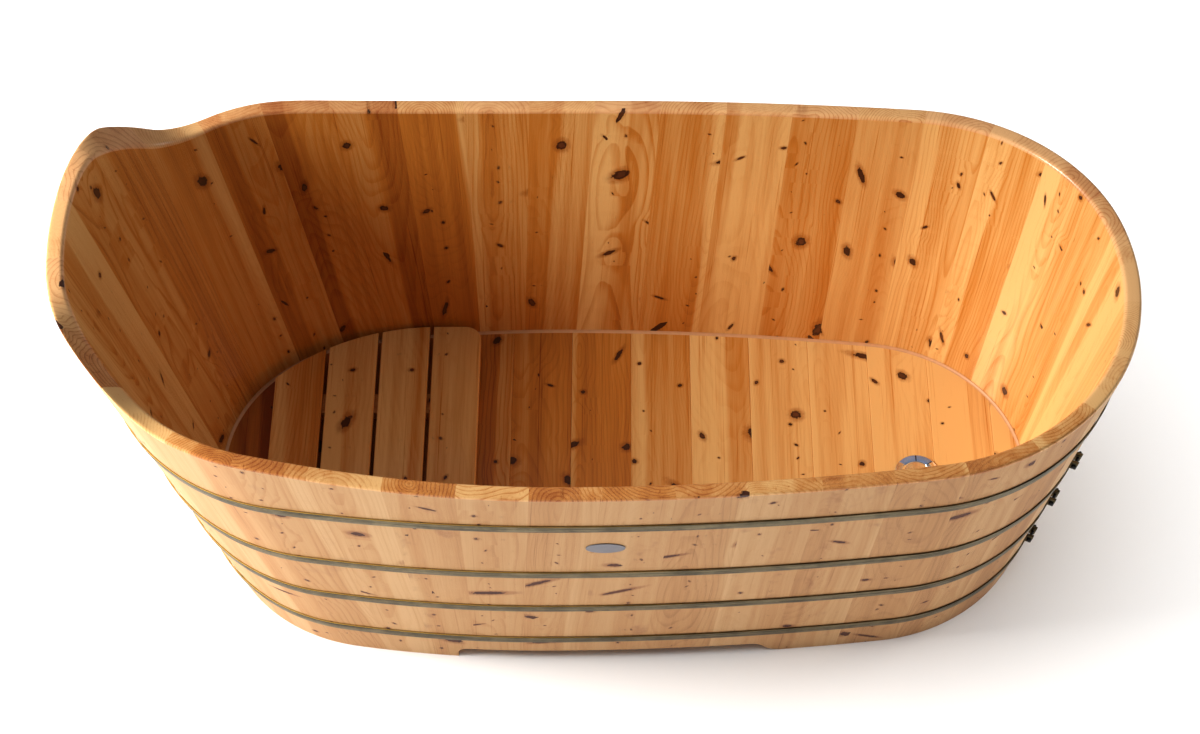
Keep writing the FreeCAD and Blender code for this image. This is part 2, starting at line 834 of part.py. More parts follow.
def make_drain():
    """Pieces of the waste fitting, standing on the Z axis, by node name."""
    flange_low = floor_top + gasket_thickness
    mouth_level = flange_low + flange_crown
    body_low = floor_top - waste_body_drop
    flange = many_sided([
        (waste_bore, body_low),
        (waste_body_radius, body_low),
        (waste_body_radius, flange_low),
        (flange_radius, flange_low),
        (flange_radius, flange_low + flange_edge),
        (mouth_radius + flange_lip, mouth_level),
        (mouth_radius, mouth_level),
        (waste_bore, mouth_level - seat_cone_depth)], drain_sides)
    spider_high = floor_top - spider_depth
    spider_low = spider_high - spider_height
    arm_reach = (waste_bore + waste_body_radius) * half
    for number in range(spider_arm_count):
        arm = box(0, arm_reach, -spider_arm * half, spider_arm * half, spider_low, spider_high)
        arm.rotate(point(0, 0, 0), up, full_turn * number / spider_arm_count)
        flange = flange.fuse(arm)
    flange = flange.fuse(prism(spider_hub_radius, drain_sides, spider_low, spider_high, 0, 0))
    flange = flange.cut(prism(
        stem_radius + stem_running_fit, drain_sides, spider_low - overrun, spider_high + overrun,
        0, 0))

    hole = waste_body_radius + thread_fit
    washer_low = floor_bottom - washer_thickness
    washer_radius = locknut_across_flats * half - washer_inset
    gasket_radius = flange_radius - washer_inset
    washers = []
    for radius, low, high in ((gasket_radius, floor_top, flange_low),
                              (washer_radius, washer_low, floor_bottom)):
        washers.append(many_sided(
            [(hole, low), (radius, low), (radius, high), (hole, high)], drain_sides))

    locknut_low = washer_low - locknut_height
    locknut = prism(locknut_across_flats * half, nut_sides, locknut_low, washer_low, 0, 0)
    locknut = locknut.cut(prism(
        hole, drain_sides, locknut_low - overrun, washer_low + overrun, 0, 0))

    collar_high = body_low + collar_overlap
    collar_low = collar_high - collar_height
    shelf = body_low - thread_fit
    tail_low = collar_low - tail_length
    web = (collar_low + shelf) * half
    tail = turned([
        (tail_bore, tail_low), (tail_radius, tail_low), (tail_radius, web), (tail_bore, web)])
    tailpiece = tail.fuse(many_sided([
        (tail_bore, collar_low),
        (collar_radius, collar_low),
        (collar_radius, collar_high),
        (hole, collar_high),
        (hole, shelf),
        (tail_bore, shelf)], drain_sides))

    def seat_radius(level):
        taper = (mouth_radius - waste_bore) / seat_cone_depth
        return mouth_radius - stopper_seat_fit - (mouth_level - level) * taper

    plug_high = mouth_level - stopper_below_lip
    plug_low = plug_high - stopper_depth
    stopper = many_sided([
        (0, plug_low - stem_length),
        (stem_radius, plug_low - stem_length),
        (stem_radius, plug_low),
        (seat_radius(plug_low), plug_low),
        (seat_radius(plug_high), plug_high),
        (seat_radius(plug_high) - stopper_edge, plug_high + stopper_crown),
        (0, plug_high + stopper_crown)], drain_sides)
    pieces = {
        "drain_flange": [flange.Solids[0]],
        "drain_washers": washers,
        "drain_locknut": [locknut.Solids[0]],
        "drain_tailpiece": [tailpiece.Solids[0]],
        "drain_stopper": [stopper]}
    for solids in pieces.values():
        for solid in solids:
            solid.translate(point(drain_station, drain_off_axis, 0))
    return pieces


def make_seat():
    """Slats, bearers and screws of the loose seat board, by node name."""
    bearer_low = floor_top + lift_off_fit
    low = bearer_low + bearer_height
    high = low + slat_thickness
    head_edge = wall_point(half_turn, low, wall_thickness).x + seat_head_clearance
    foot_edge = head_edge + slat_count * slat_width + (slat_count - 1) * slat_gap
    side = wall_point(quarter_turn, low, wall_thickness).y - seat_side_clearance
    curve_start = head_edge + seat_curve_run
    end_turn = math.asin(seat_curve_run / seat_curve_radius)
    corner = seat_corner_radius
    corner_cut = corner * (1 - math.sqrt(half))

    def on_curve(turn, mirror):
        x = curve_start - seat_curve_radius * math.sin(turn)
        y = side - seat_curve_radius * (1 - math.cos(turn))
        return point(x, y * mirror, low)

    half_outlines = []
    for mirror in (1, -1):
        tip = point(foot_edge, (side - corner) * mirror, low)
        shoulder = point(foot_edge - corner_cut, (side - corner_cut) * mirror, low)
        flank = point(foot_edge - corner, side * mirror, low)
        start = on_curve(0, mirror)
        end = on_curve(end_turn, mirror)
        half_outlines.append([
            Part.LineSegment(point(foot_edge, 0, low), tip).toShape(),
            Part.Arc(tip, shoulder, flank).toShape(),
            Part.LineSegment(flank, start).toShape(),
            Part.Arc(start, on_curve(end_turn * half, mirror), end).toShape(),
            Part.LineSegment(end, point(head_edge, 0, low)).toShape()])
    back, front = half_outlines
    board = Part.Face(Part.Wire([*back, *reversed(front)])).extrude(up * slat_thickness)

    bearer_foot = foot_edge - bearer_end_margin
    bearer_head = head_edge + bearer_end_margin
    slat_middles = []
    for number in range(slat_count):
        slat_middles.append(foot_edge - slat_width * half - (slat_width + slat_gap) * number)
    screws = []
    holes = []
    head_level = bearer_low + seat_screw_sink + seat_screw_head_height
    bite = low + seat_screw_bite - head_level
    for off_axis in (-bearer_off_axis, bearer_off_axis):
        for station in slat_middles:
            screws.append(moved(
                screw(seat_screw_radius, seat_screw_head_radius, seat_screw_head_height, bite),
                point(station, off_axis, head_level), up))
            holes.append(prism(
                seat_screw_radius + screw_hole_fit, screw_sides, bearer_low,
                low + seat_screw_bite + screw_hole_fit, station, off_axis))
            holes.append(prism(
                seat_screw_head_radius + screw_hole_fit, screw_sides, bearer_low - overrun,
                head_level + screw_hole_fit, station, off_axis))
    drill = Part.makeCompound(holes)

    bearers = []
    for off_axis in (-bearer_off_axis, bearer_off_axis):
        bearer = box(bearer_head, bearer_foot, off_axis - bearer_width * half,
                     off_axis + bearer_width * half, bearer_low, low)
        bearers.append(bearer.cut(drill).Solids[0])
    pieces = {"seat_bearers": bearers, "seat_screws": screws}
    for number, station in enumerate(slat_middles):
        slat = board.common(box(
            station - slat_width * half, station + slat_width * half,
            -cut_reach, cut_reach, low - overrun, high + overrun)).Solids[0]
        top_edges = [edge for edge in slat.Edges if edge.BoundBox.ZMin > (low + high) * half]
        slat = slat.makeChamfer(slat_chamfer, top_edges)
        pieces[f"seat_slat_{number + 1}"] = [slat.cut(drill).Solids[0]]
    return pieces


def make_badge():
    """Plain oval plate that lies on the leaning front wall."""

    def station(bearing):
        return wall_point(bearing, badge_height, 0).x

    bearing = bearing_where(station, half_turn, full_turn, badge_station)
    place = wall_point(bearing, badge_height, 0)
    along = tangent(bearing)
    rise = wall_point(bearing, badge_height + badge_half_height, 0) - place
    out = along.cross(rise).normalize()
    corners = []
    for side in range(badge_sides):
        way = normal(full_turn * side / badge_sides)
        corners.append(point(way.x * badge_half_length, way.y * badge_half_height, 0))
    plate = panel(corners).extrude(up * badge_thickness)
    plate.Placement = FreeCAD.Placement(
        place + out * badge_fit, FreeCAD.Rotation(along, rise, out, "ZXY"))
    return plate


def build_nodes():
    """Every node of the tub as a list of solids, by name."""
    nodes = {}
    for name, first, last in stave_joints():
        nodes[name] = [make_stave(first, last)]
    boards, middles = make_floor()
    boards, battens, screws = make_floor_frame(boards, middles)
    nodes["floor_boards"] = []
    for board, middle in zip(boards, middles):
        if abs(middle - drain_station) < board_width * half:
            nodes["floor_board_waste"] = [board]
        else:
            nodes["floor_boards"].append(board)
    nodes["floor_battens"] = battens
    nodes["batten_screws"] = screws
    nodes["floor_seal"] = [make_seal()]
    nodes["hoop_fasteners"] = []
    for number, (top, lug_bearing) in enumerate(zip(hoop_tops, hoop_lug_bearings)):
        hoop, bolt, nut = make_hoop(top, lug_bearing)
        nodes[f"hoop_{number + 1}"] = [hoop]
        nodes["hoop_fasteners"].extend([bolt, nut])
    nodes.update(make_drain())
    nodes.update(make_seat())
    nodes["badge_plate"] = [make_badge()]
    return nodes


os.makedirs("parts", exist_ok=True)
tub = {}
for node, pieces in build_nodes().items():
    tub[node] = pieces[0] if len(pieces) == 1 else Part.makeCompound(pieces)
whole = Part.makeCompound(list(tub.values())).BoundBox
middle_shift = point(-(whole.XMin + whole.XMax) * half, 0, 0)
for node, shape in tub.items():
    shape.translate(middle_shift)
    shape.exportStep(f"parts/{node}.step")
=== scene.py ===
import math

import bmesh
import bpy
import numpy as np
from mathutils import Matrix, Vector


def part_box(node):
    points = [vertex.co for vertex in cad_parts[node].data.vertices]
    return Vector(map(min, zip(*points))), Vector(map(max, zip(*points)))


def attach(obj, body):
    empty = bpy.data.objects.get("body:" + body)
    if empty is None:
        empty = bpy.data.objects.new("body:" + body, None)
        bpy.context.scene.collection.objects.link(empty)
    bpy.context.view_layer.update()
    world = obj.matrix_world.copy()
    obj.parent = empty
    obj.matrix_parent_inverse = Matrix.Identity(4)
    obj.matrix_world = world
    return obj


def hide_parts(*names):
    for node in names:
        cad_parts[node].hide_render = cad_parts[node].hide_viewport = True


bl_info = {
    "name": "Coopered Bathtub",
    "version": (1, 0, 0),
    "blender": (4, 5, 0),
    "location": "3D View > Sidebar > Bathtub",
    "description": "Dresses a coopered wooden bathtub: staves, hoops, floor, seat board and waste",
    "category": "Object",
}

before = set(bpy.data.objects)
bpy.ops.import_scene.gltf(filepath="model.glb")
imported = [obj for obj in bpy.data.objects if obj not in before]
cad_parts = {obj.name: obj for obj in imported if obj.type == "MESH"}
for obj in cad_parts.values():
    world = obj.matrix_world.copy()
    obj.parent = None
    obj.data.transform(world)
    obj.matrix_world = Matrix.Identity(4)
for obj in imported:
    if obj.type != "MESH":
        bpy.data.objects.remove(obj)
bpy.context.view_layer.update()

QUARTER_TURN = 90.0
HALF_TURN = 180.0
FULL_TURN = 360.0
RIGHT_ANGLE = math.pi / 2.0

# Points closer than this are one point
MERGE_DISTANCE = 1e-5


# Properties

def size(name, description, default):
    """Length property in metres."""
    return bpy.props.FloatProperty(
        name=name, description=description, default=default, unit="LENGTH", precision=4)


def degrees(name, description, default):
    """Angle property, kept in radians."""
    return bpy.props.FloatProperty(
        name=name, description=description, default=math.radians(default), unit="ROTATION")


def share(name, description, default):
    """Plain number property."""
    return bpy.props.FloatProperty(name=name, description=description, default=default, precision=4)


def count(name, description, default):
    """Whole number property."""
    return bpy.props.IntProperty(name=name, description=description, default=default)


def position(name, description, default):
    """Place property in metres."""
    return bpy.props.FloatVectorProperty(
        name=name, description=description, default=default, subtype="TRANSLATION", size=3,
        unit="LENGTH", precision=4)


def colour(name, description, default):
    """Colour property."""
    return bpy.props.FloatVectorProperty(
        name=name, description=description, default=default, subtype="COLOR", size=3,
        min=0.0, max=1.0)


class BathtubWallSizes(bpy.types.PropertyGroup):
    """Sizes of the wall. Stations run along the tub from the waist, its widest place."""
    rim_height: size("Rim height", "Height of the rim over the waist", 0.515)
    rim_half_width: size("Rim half width", "Outer face to the middle plane at the rim", 0.3825)
    rim_head_reach: size("Rim head reach", "Waist to the head end at the rim", 0.686)
    rim_foot_reach: size("Rim foot reach", "Waist to the foot end at the rim", 0.8205)
    base_half_width: size("Base half width", "Outer face to the middle plane on the ground", 0.291)
    base_head_reach: size("Base head reach", "Waist to the head end on the ground", 0.499)
    base_foot_reach: size("Base foot reach", "Waist to the foot end on the ground", 0.748)
    base_waist_setback: size("Base waist setback", "How far the waist sits back below", 0.041)
    thickness: size("Wall thickness", "Thickness of the staves", 0.0245)
    head_side_turn: degrees("Head side turn", "Turn of the side arc towards the head", 9.5)
    head_corner_turn: degrees("Head corner turn", "Turn reached after the head corner", 82.7)
    foot_side_turn: degrees("Foot side turn", "Turn of the side arc towards the foot", 7.0)
    foot_corner_turn: degrees("Foot corner turn", "Turn reached after the foot corner", 76.7)
    head_corner_rim_share: share("Head corner, rim", "Corner radius over half width", 0.821)
    head_corner_base_share: share("Head corner, base", "Corner radius over half width", 0.887)
    foot_corner_rim_share: share("Foot corner, rim", "Corner radius over half width", 0.870)
    foot_corner_base_share: share("Foot corner, base", "Corner radius over half width", 0.929)
    foot_sheer_rise: size("Foot sheer rise", "Rise of the rim towards the foot end", 0.020)
    head_sheer_rise: size("Head sheer rise", "Rise of the rim before the shoulder", 0.038)
    head_sheer_share: share("Head sheer share", "Share of the rise that curves up", 0.70)
    headrest_rise: size("Headrest rise", "Height of the headrest over the waist", 0.139)
    headrest_depth: size("Headrest depth", "Length of the shoulder and headrest", 0.184)
    sweep_radius: size("Sweep radius", "Radius at the foot of the shoulder", 0.110)
    sweep_angle: degrees("Sweep angle", "Slope of the shoulder", 45.0)
    shoulder_radius: size("Shoulder radius", "Radius at the top of the shoulder", 0.040)
    rim_round: size("Rim rounding", "Radius of the rim's edges", 0.005)
    side_stave_count: count("Side staves", "Staves in the front and in the back", 10)
    end_stave_count: count("End staves", "Staves at each end", 9)
    side_stave_width: size("Side stave width", "Width of a side stave at the rim", 0.1003)
    back_joint_station: size("Back joint", "Station of the middle joint of the back", 0.041)
    front_joint_station: size("Front joint", "Station of the middle joint of the front", 0.055)
    arch_head_station: size("Arch head", "Station of the arch's head end", -0.168)
    arch_foot_station: size("Arch foot", "Station of the arch's foot end", 0.319)
    arch_height: size("Arch height", "Height of the arch between the feet", 0.027)
    arch_head_round: size("Arch head rounding", "Radius of the arch at its head end", 0.017)
    arch_foot_round: size("Arch foot rounding", "Upper radius at the foot end", 0.026)
    arch_toe_round: size("Arch toe rounding", "Lower radius at the foot end", 0.030)
    croze_low: size("Croze bottom", "Underside of the groove that holds the floor", 0.0635)
    croze_height: size("Croze height", "Height of the groove", 0.014)
    croze_depth: size("Croze depth", "Depth of the groove", 0.008)
    column_step: size("Column step", "Greatest width of a column of faces at the rim", 0.007)


class BathtubFittingSizes(bpy.types.PropertyGroup):
    """Sizes of the hoops, bolts, sealant, seat board and plate."""
    hoop_fit: size("Hoop fit", "Gap between the wall and a hoop", 0.0005)
    hoop_thickness: size("Hoop thickness", "Thickness of a hoop", 0.002)
    hoop_edge: size("Hoop edge", "Rounding of a hoop's edges", 0.0006)
    lug_reach: size("Lug reach", "How far a lug stands out", 0.009)
    lug_thickness: size("Lug thickness", "Thickness of a lug", 0.005)
    lug_opening: size("Lug opening", "Gap between two lugs", 0.012)
    lug_edge: size("Lug edge", "Rounding of a lug's edges", 0.0008)
    top_lug_bearing: degrees("Top lug bearing", "Bearing of the top hoop's lugs", -10.0)
    second_lug_bearing: degrees("Second lug bearing", "Bearing of the second hoop's lugs", -25.0)
    lower_lug_bearing: degrees("Lower lug bearing", "Bearing of the lower hoops' lugs", -24.0)
    bolt_radius: size("Bolt radius", "Radius of a bolt's shank", 0.0024)
    bolt_head_radius: size("Bolt head radius", "Radius of a bolt's head", 0.004)
    bolt_head_height: size("Bolt head height", "Height of a bolt's head", 0.004)
    bolt_tail: size("Bolt tail", "Length of shank beyond the nut", 0.003)
    nut_width: size("Nut width", "Width of a nut across its flats", 0.008)
    thread_pitch: size("Thread pitch", "Distance between two turns of a bolt's thread", 0.0008)
    nut_height: size("Nut height", "Height of a nut", 0.004)
    nut_edge: size("Nut edge", "Rounding of a nut's edges", 0.0004)
    seal_fit: size("Seal fit", "Gap between the wall and the sealant", 0.0005)
    seal_width: size("Seal width", "Width of the bead of sealant", 0.005)
    seal_fall: share("Seal fall", "How far the bead stays under the wall's own bead", 0.30)
    seal_reach: share("Seal reach", "Reach of the bead over the floor, of its width", 0.72)
    seal_hollow: share("Seal hollow", "Reach of the bead's hollow face, of its width", 0.60)
    seal_lip: share("Seal lip", "Upright lip at each end of the hollow, of its height", 0.05)
    slat_edge: size("Slat edge", "Rounding of a slat's upper edges", 0.002)
    slat_corner: size("Slat corner", "Radius of the seat board's two square corners", 0.026)
    seat_curve_run: size("Seat curve run", "Length of the seat board's curved flanks", 0.252)
    seat_curve_radius: size("Seat curve radius", "Radius of the seat board's flanks", 0.355)
    board_width: size("Board width", "Width of a floor board", 0.094)
    batten_spacing: size("Batten spacing", "Distance between the floor's battens", 0.26)
    bearer_spacing: size("Bearer spacing", "Distance between the seat's bearers", 0.24)
    plate_edge: size("Plate edge", "Rounding of the oval plate's front edge", 0.0006)


class BathtubWasteSizes(bpy.types.PropertyGroup):
    """Sizes of the waste's ring, spider and stopper."""
    bore: size("Bore", "Radius of the bore", 0.016)
    body_radius: size("Body radius", "Radius of the body that the ring is part of", 0.0205)
    mouth_radius: size("Mouth radius", "Radius of the ring's mouth", 0.019)
    mouth_depth: size("Mouth depth", "How far down the mouth meets the bore", 0.006)
    ring_height: size("Ring height", "Height of the ring over the floor", 0.003)
    ring_edge: size("Ring edge", "Bevel on the ring's underside", 0.0004)
    lip_width: size("Lip width", "Width of the lip round the mouth", 0.0025)
    lip_round: share("Lip rounding", "Width of the lip's rounded part, of the lip", 0.999)
    lip_drop: size("Lip drop", "How far the lip falls towards the mouth", 0.001)
    arm_level: size("Arm level", "Underside of the spider's arms", 0.0655)
    arm_height: size("Arm height", "Height of an arm", 0.007)
    arm_width: size("Arm width", "Width of an arm", 0.003)
    arm_start: size("Arm start", "Middle of the spider to the start of an arm", 0.006)
    arm_overlap: size("Arm overlap", "How far an arm runs into the body", 0.0005)
    stem_radius: size("Stem radius", "Radius of the stopper's stem", 0.004)
    stem_edge: size("Stem edge", "Bevel at the foot of the stem", 0.0005)
    stopper_height: size("Stopper height", "Height of the stopper over its stem", 0.0056)
    stopper_taper: size("Stopper taper", "How far the stopper's underside is set in", 0.0022)
    stopper_edge: size("Stopper edge", "Radius of the rolled edge", 0.001)
    stopper_edge_inset: size("Edge inset", "How far the rolled edge is set in", 0.0002)
    dome_rise: size("Dome rise", "Rise of the stopper's dome", 0.0006)
    dome_share: share("Dome share", "Radius of the dome over the stopper's", 0.9)


class BathtubGrain(bpy.types.PropertyGroup):
    """Sizes and weights of the wood's growth rings, knots, streaks and varnish, and of the painted
    shade and light on the rim.
    """
    ring_least: size("Least ring", "Width of the narrowest growth rings", 0.0035)
    ring_spread: size("Ring spread", "How much wider the widest rings are", 0.0045)
    knot_across: size("Knots across", "Distance between knots across a board", 0.088)
    knot_along: size("Knots along", "Distance between knots along a board", 0.150)
    knot_radius: size("Knot radius", "Radius of a usual knot", 0.0080)
    swell_reach: size("Swell reach", "How far from a knot the grain swells", 0.034)
    pin_spacing: size("Pin knot spacing", "Distance between the pin knots of a row", 0.034)
    pin_radius: size("Pin knot radius", "Radius of a usual pin knot", 0.0022)
    patch_weight: share("Patches", "Weight of wide patches in the shade", 0.46)
    streak_weight: share("Streaks", "Weight of streaks along the grain", 0.80)
    fibre_weight: share("Fibres", "Weight of fine fibres", 0.30)
    hair_weight: share("Hairs", "Weight of thin dark hairs", 0.28)
    sapwood_weight: share("Sapwood", "How much paler the sapwood is", 0.26)
    # Painted shade that deepens the rim along the front, and painted light that makes it paler on
    # the headrest
    front_rim_painted_shade: share("Front rim", "How much deeper the rim is along the front", 0.17)
    headrest_rim_painted_light: share("Headrest rim", "How much paler the rim is on the headrest", 0.16)
    bruise_weight: share("Bruises", "Strength of the red bruises outside", 0.42)
    stain_weight: share("Stains", "Strength of the stains round knots", 0.46)
    inside_roughness: share("Inside roughness", "Roughness of the varnish inside", 0.38)
    outside_roughness: share("Outside roughness", "Roughness of the wood outside", 0.62)
    inside_coat: share("Inside coat", "Weight of the varnish inside", 0.42)
    outside_coat: share("Outside coat", "Weight of the varnish outside", 0.04)
    coat_roughness: share("Coat roughness", "Roughness of the varnish's own shine", 0.16)
    specular: share("Specular level", "Shine of the bare wood", 0.30)
    relief_strength: share("Relief", "Strength of the grain's relief", 0.25)
    relief_height: size("Relief height", "Height of the grain's relief", 0.0003)


class BathtubColours(bpy.types.PropertyGroup):
    """Colours of the finishes, as they look in even light, with the painted highlight of the hoops
    and the painted reflection of the waste ring.
    """
    inside_pale: colour("Inside, pale", "Palest varnished wood inside", (0.94, 0.585, 0.225))
    inside_mid: colour("Inside, middle", "Middle tone inside", (0.66, 0.248, 0.037))
    inside_deep: colour("Inside, deep", "Deepest varnished wood inside", (0.31, 0.068, 0.007))
    outside_pale: colour("Outside, pale", "Palest wood outside", (0.69, 0.435, 0.218))
    outside_mid: colour("Outside, middle", "Middle tone outside", (0.565, 0.298, 0.126))
    outside_deep: colour("Outside, deep", "Deepest wood outside", (0.32, 0.138, 0.056))
    rim_pale: colour("Rim, pale", "Palest wood of the rim", (0.96, 0.538, 0.262))
    rim_deep: colour("Rim, deep", "Deepest wood of the rim", (0.47, 0.132, 0.037))
    knot: colour("Knot", "Dark edge of a knot", (0.048, 0.014, 0.006))
    knot_heart: colour("Knot heart", "Wood in the middle of a knot", (0.19, 0.060, 0.020))
    knot_outside: colour("Knot outside", "Dark edge of a knot outside", (0.060, 0.018, 0.016))
    knot_ring: colour("Knot ring", "Stained wood round a knot", (0.30, 0.085, 0.015))
    knot_ring_outside: colour("Knot ring outside", "The same outside", (0.30, 0.105, 0.050))
    hoop: colour("Hoop", "Bronzed face of a hoop", (0.205, 0.165, 0.088))
    # Painted highlight along the upper edge of a hoop
    hoop_edge: colour("Hoop edge", "Bright upper edge of a hoop", (0.74, 0.55, 0.15))
    black: colour("Black", "Bolts and nuts", (0.012, 0.012, 0.013))
    steel: colour("Steel", "Screws", (0.48, 0.48, 0.49))
    badge: colour("Badge", "Satin plate on the front", (0.23, 0.225, 0.245))
    chrome: colour("Chrome", "Waste ring and stopper", (0.88, 0.88, 0.88))
    # Painted reflection that the waste ring carries
    chrome_painted_reflection: colour("Chrome shade", "What the waste ring mirrors", (0.16, 0.24, 0.42))
    # Painted dark gap in the waste ring's painted reflection
    chrome_painted_gap: colour("Chrome gap", "Gap between two mirrored blocks", (0.01, 0.01, 0.015))
    sealant: colour("Sealant", "Bead round the floor", (0.78, 0.440, 0.225))
    rubber: colour("Rubber", "Washers of the waste", (0.02, 0.02, 0.02))
    plastic: colour("Plastic", "Locknut and tailpiece", (0.72, 0.72, 0.69))
    ground: colour("Ground", "Floor that the tub stands on", (0.88, 0.88, 0.88))


class BathtubStageSettings(bpy.types.PropertyGroup):
    """Camera and lights."""
    camera_place: position("Camera", "Place of the camera", (0.0494, -2.8460, 3.7667))
    camera_pitch: degrees("Camera pitch", "How far the camera looks down", 50.306)
    camera_yaw: degrees("Camera yaw", "Turn of the camera", -1.031)
    camera_roll: degrees("Camera roll", "Tilt of the camera", -0.974)
    focal_share: share("Focal length", "Focal length over the picture's width", 2.5)
    sky: share("Sky", "Strength of the even light", 0.21)
    key_place: position("Key light", "Place of the light beyond the head end", (-3.6, -0.5, 2.35))
    key_target: position("Key target", "Point that the key light looks at", (0.0, 0.0, 0.25))
    key_width: size("Key width", "Width of the key light", 1.5)
    key_power: share("Key power", "Watts of the key light", 252.0)
    key_tint: colour("Key tint", "Colour of the key light", (1.0, 0.98, 0.95))
    fill_place: position("Fill light", "Place of the light beyond the foot end", (3.4, 1.0, 2.2))
    fill_target: position("Fill target", "Point that the fill light looks at", (-0.6, 0.0, 0.45))
    fill_width: size("Fill width", "Width of the fill light", 1.2)
    fill_power: share("Fill power", "Watts of the fill light", 14.0)
    fill_tint: colour("Fill tint", "Colour of the fill light", (1.0, 0.97, 0.93))
    ground_reach: size("Ground reach", "Middle of the floor to its edge", 12.0)
    ground_power: share("Ground power", "Strength of the light that falls on the ground alone", 2.7)
    ground_spread: degrees("Ground spread", "Spread of the light on the ground", 60.0)
    ground_light_height: size("Ground light", "Height of the light on the ground", 4.0)
    depth: share("Depth of shade", "Gamma of the view, less than one for deeper shades", 0.90)


# Node trees written as expressions

class Term:
    """A socket of a node tree, so that sums of nodes read as plain expressions."""

    def __init__(self, nodes, socket):
        self.nodes = nodes
        self.socket = socket

    def __add__(self, other):
        return self.nodes.maths("ADD", self, other)

    def __radd__(self, other):
        return self.nodes.maths("ADD", other, self)

    def __sub__(self, other):
        return self.nodes.maths("SUBTRACT", self, other)

    def __rsub__(self, other):
        return self.nodes.maths("SUBTRACT", other, self)

    def __mul__(self, other):
        return self.nodes.maths("MULTIPLY", self, other)

    def __rmul__(self, other):
        return self.nodes.maths("MULTIPLY", other, self)

    def __truediv__(self, other):
        return self.nodes.maths("DIVIDE", self, other)

    def __lt__(self, other):
        return self.nodes.maths("LESS_THAN", self, other)


class Nodes:
    """Builds one node tree."""

    def __init__(self, tree):
        self.tree = tree
        tree.nodes.clear()

    def feed(self, socket, value):
        """Gives a socket a value or a link."""
        if isinstance(value, Term):
            self.tree.links.new(value.socket, socket)
        elif socket.type == "VECTOR" and isinstance(value, (int, float)):
            socket.default_value = (value, value, value)
        elif socket.type == "RGBA":
            socket.default_value = (*value[:3], 1.0)
        else:
            socket.default_value = value

    def make(self, kind, settings, sockets):
        """Adds a node and returns its outputs by name and by number."""
        node = self.tree.nodes.new(kind)
        for name, value in settings.items():
            setattr(node, name, value)
        for key, value in sockets.items():
            self.feed(node.inputs[key], value)
        outputs = {}
        for number, socket in enumerate(node.outputs):
            outputs[number] = Term(self, socket)
            outputs.setdefault(socket.name, outputs[number])
        return outputs

    def maths(self, operation, *values):
        """Sum of numbers, or of vectors where one of the values is a vector."""
        vectors = [value for value in values if isinstance(value, tuple)
                   or isinstance(value, Term) and value.socket.type == "VECTOR"]
        kind = "ShaderNodeVectorMath" if vectors else "ShaderNodeMath"
        return self.make(kind, {"operation": operation}, dict(enumerate(values)))[0]

    def span(self, x, y):
        """Length of the way to a place from the middle."""
        return self.maths("SQRT", x * x + y * y)

    def clamp(self, value):
        """Value held between 0 and 1."""
        return self.make("ShaderNodeClamp", {}, {"Value": value})[0]

    def smooth(self, value, low, high):
        """Smooth step from 0 at low to 1 at high."""
        return self.make("ShaderNodeMapRange", {"interpolation_type": "SMOOTHSTEP"}, {
            "Value": value, "From Min": low, "From Max": high})[0]

    def mix(self, factor, first, second):
        """Blend of two colours."""
        sockets = {0: factor, 6: first, 7: second}
        return self.make("ShaderNodeMix", {"data_type": "RGBA"}, sockets)[2]

    def blend(self, factor, first, second):
        """Blend of two numbers."""
        return self.make("ShaderNodeMix", {}, {0: factor, 2: first, 3: second})[0]

    def vector(self, x, y, z):
        """Vector of three numbers."""
        return self.make("ShaderNodeCombineXYZ", {}, {0: x, 1: y, 2: z})[0]

    def parts(self, vector):
        """Three numbers of a vector."""
        outputs = self.make("ShaderNodeSeparateXYZ", {}, {0: vector})
        return outputs[0], outputs[1], outputs[2]

    def noise(self, vector, detail=2.0, roughness=0.5):
        """Noise between 0 and 1."""
        return self.make("ShaderNodeTexNoise", {}, {
            "Vector": vector, "Scale": 1.0, "Detail": detail, "Roughness": roughness})[0]

    def chance(self, value):
        """Random number between 0 and 1 for each whole value."""
        return self.make("ShaderNodeTexWhiteNoise", {"noise_dimensions": "1D"}, {"W": value})[0]


class Finish(Nodes):
    """Builds one material."""

    def __init__(self, name):
        self.material = bpy.data.materials.new(name)
        self.material.use_nodes = True
        super().__init__(self.material.node_tree)

    def attribute(self, name):
        """Vector attribute of the mesh."""
        return self.make("ShaderNodeAttribute", {"attribute_name": name}, {})["Vector"]

    def place(self):
        """Place of the point on the object."""
        return self.make("ShaderNodeTexCoord", {}, {})["Object"]

    def bump(self, height, strength, distance):
        """Normal that shows a height."""
        return self.make("ShaderNodeBump", {}, {
            "Strength": strength, "Distance": distance, "Height": height})[0]

    def close(self, sockets):
        """Ends the tree in one surface."""
        shader = self.make("ShaderNodeBsdfPrincipled", {}, sockets)[0]
        self.make("ShaderNodeOutputMaterial", {}, {"Surface": shader})
        return self.material


# Materials

# Boards are told apart by numbers: staves from 1, floor boards about 40, slats from 60
FIRST_BOARD_NUMBER = 40.0
FIRST_SLAT_NUMBER = 60.0
LEAST_TONE = 0.10

# Where the parts of a knot start and where they are full, over the knot's radius
CORE_FADE = (1.06, 0.88)
HEART_FADE = (0.70, 0.45)
STAIN_FADE = (2.3, 0.9)

# The grain swells round a knot over a longer way along the board than across it
SWELL_SHARE = 0.42


def knot_marks(nodes, grain, across, along, ragged, reach, stretch, turn, live):
    """A knot as its dark core, the wood in its middle, the stain round it and the swell of the
    grain, from the place relative to its centre."""
    sine = nodes.maths("SINE", turn)
    cosine = nodes.maths("COSINE", turn)
    lengthwise = across * cosine + along * sine
    crosswise = (along * cosine - across * sine) * stretch
    gap = nodes.span(lengthwise, crosswise) + ragged * reach
    core, heart, stain = [
        nodes.smooth(gap, reach * start, reach * full) * live
        for start, full in (CORE_FADE, HEART_FADE, STAIN_FADE)]
    wide_gap = nodes.span(across, along * SWELL_SHARE)
    swell = nodes.smooth(wide_gap, grain.swell_reach, 0.0) * live
    return core, heart, stain, swell


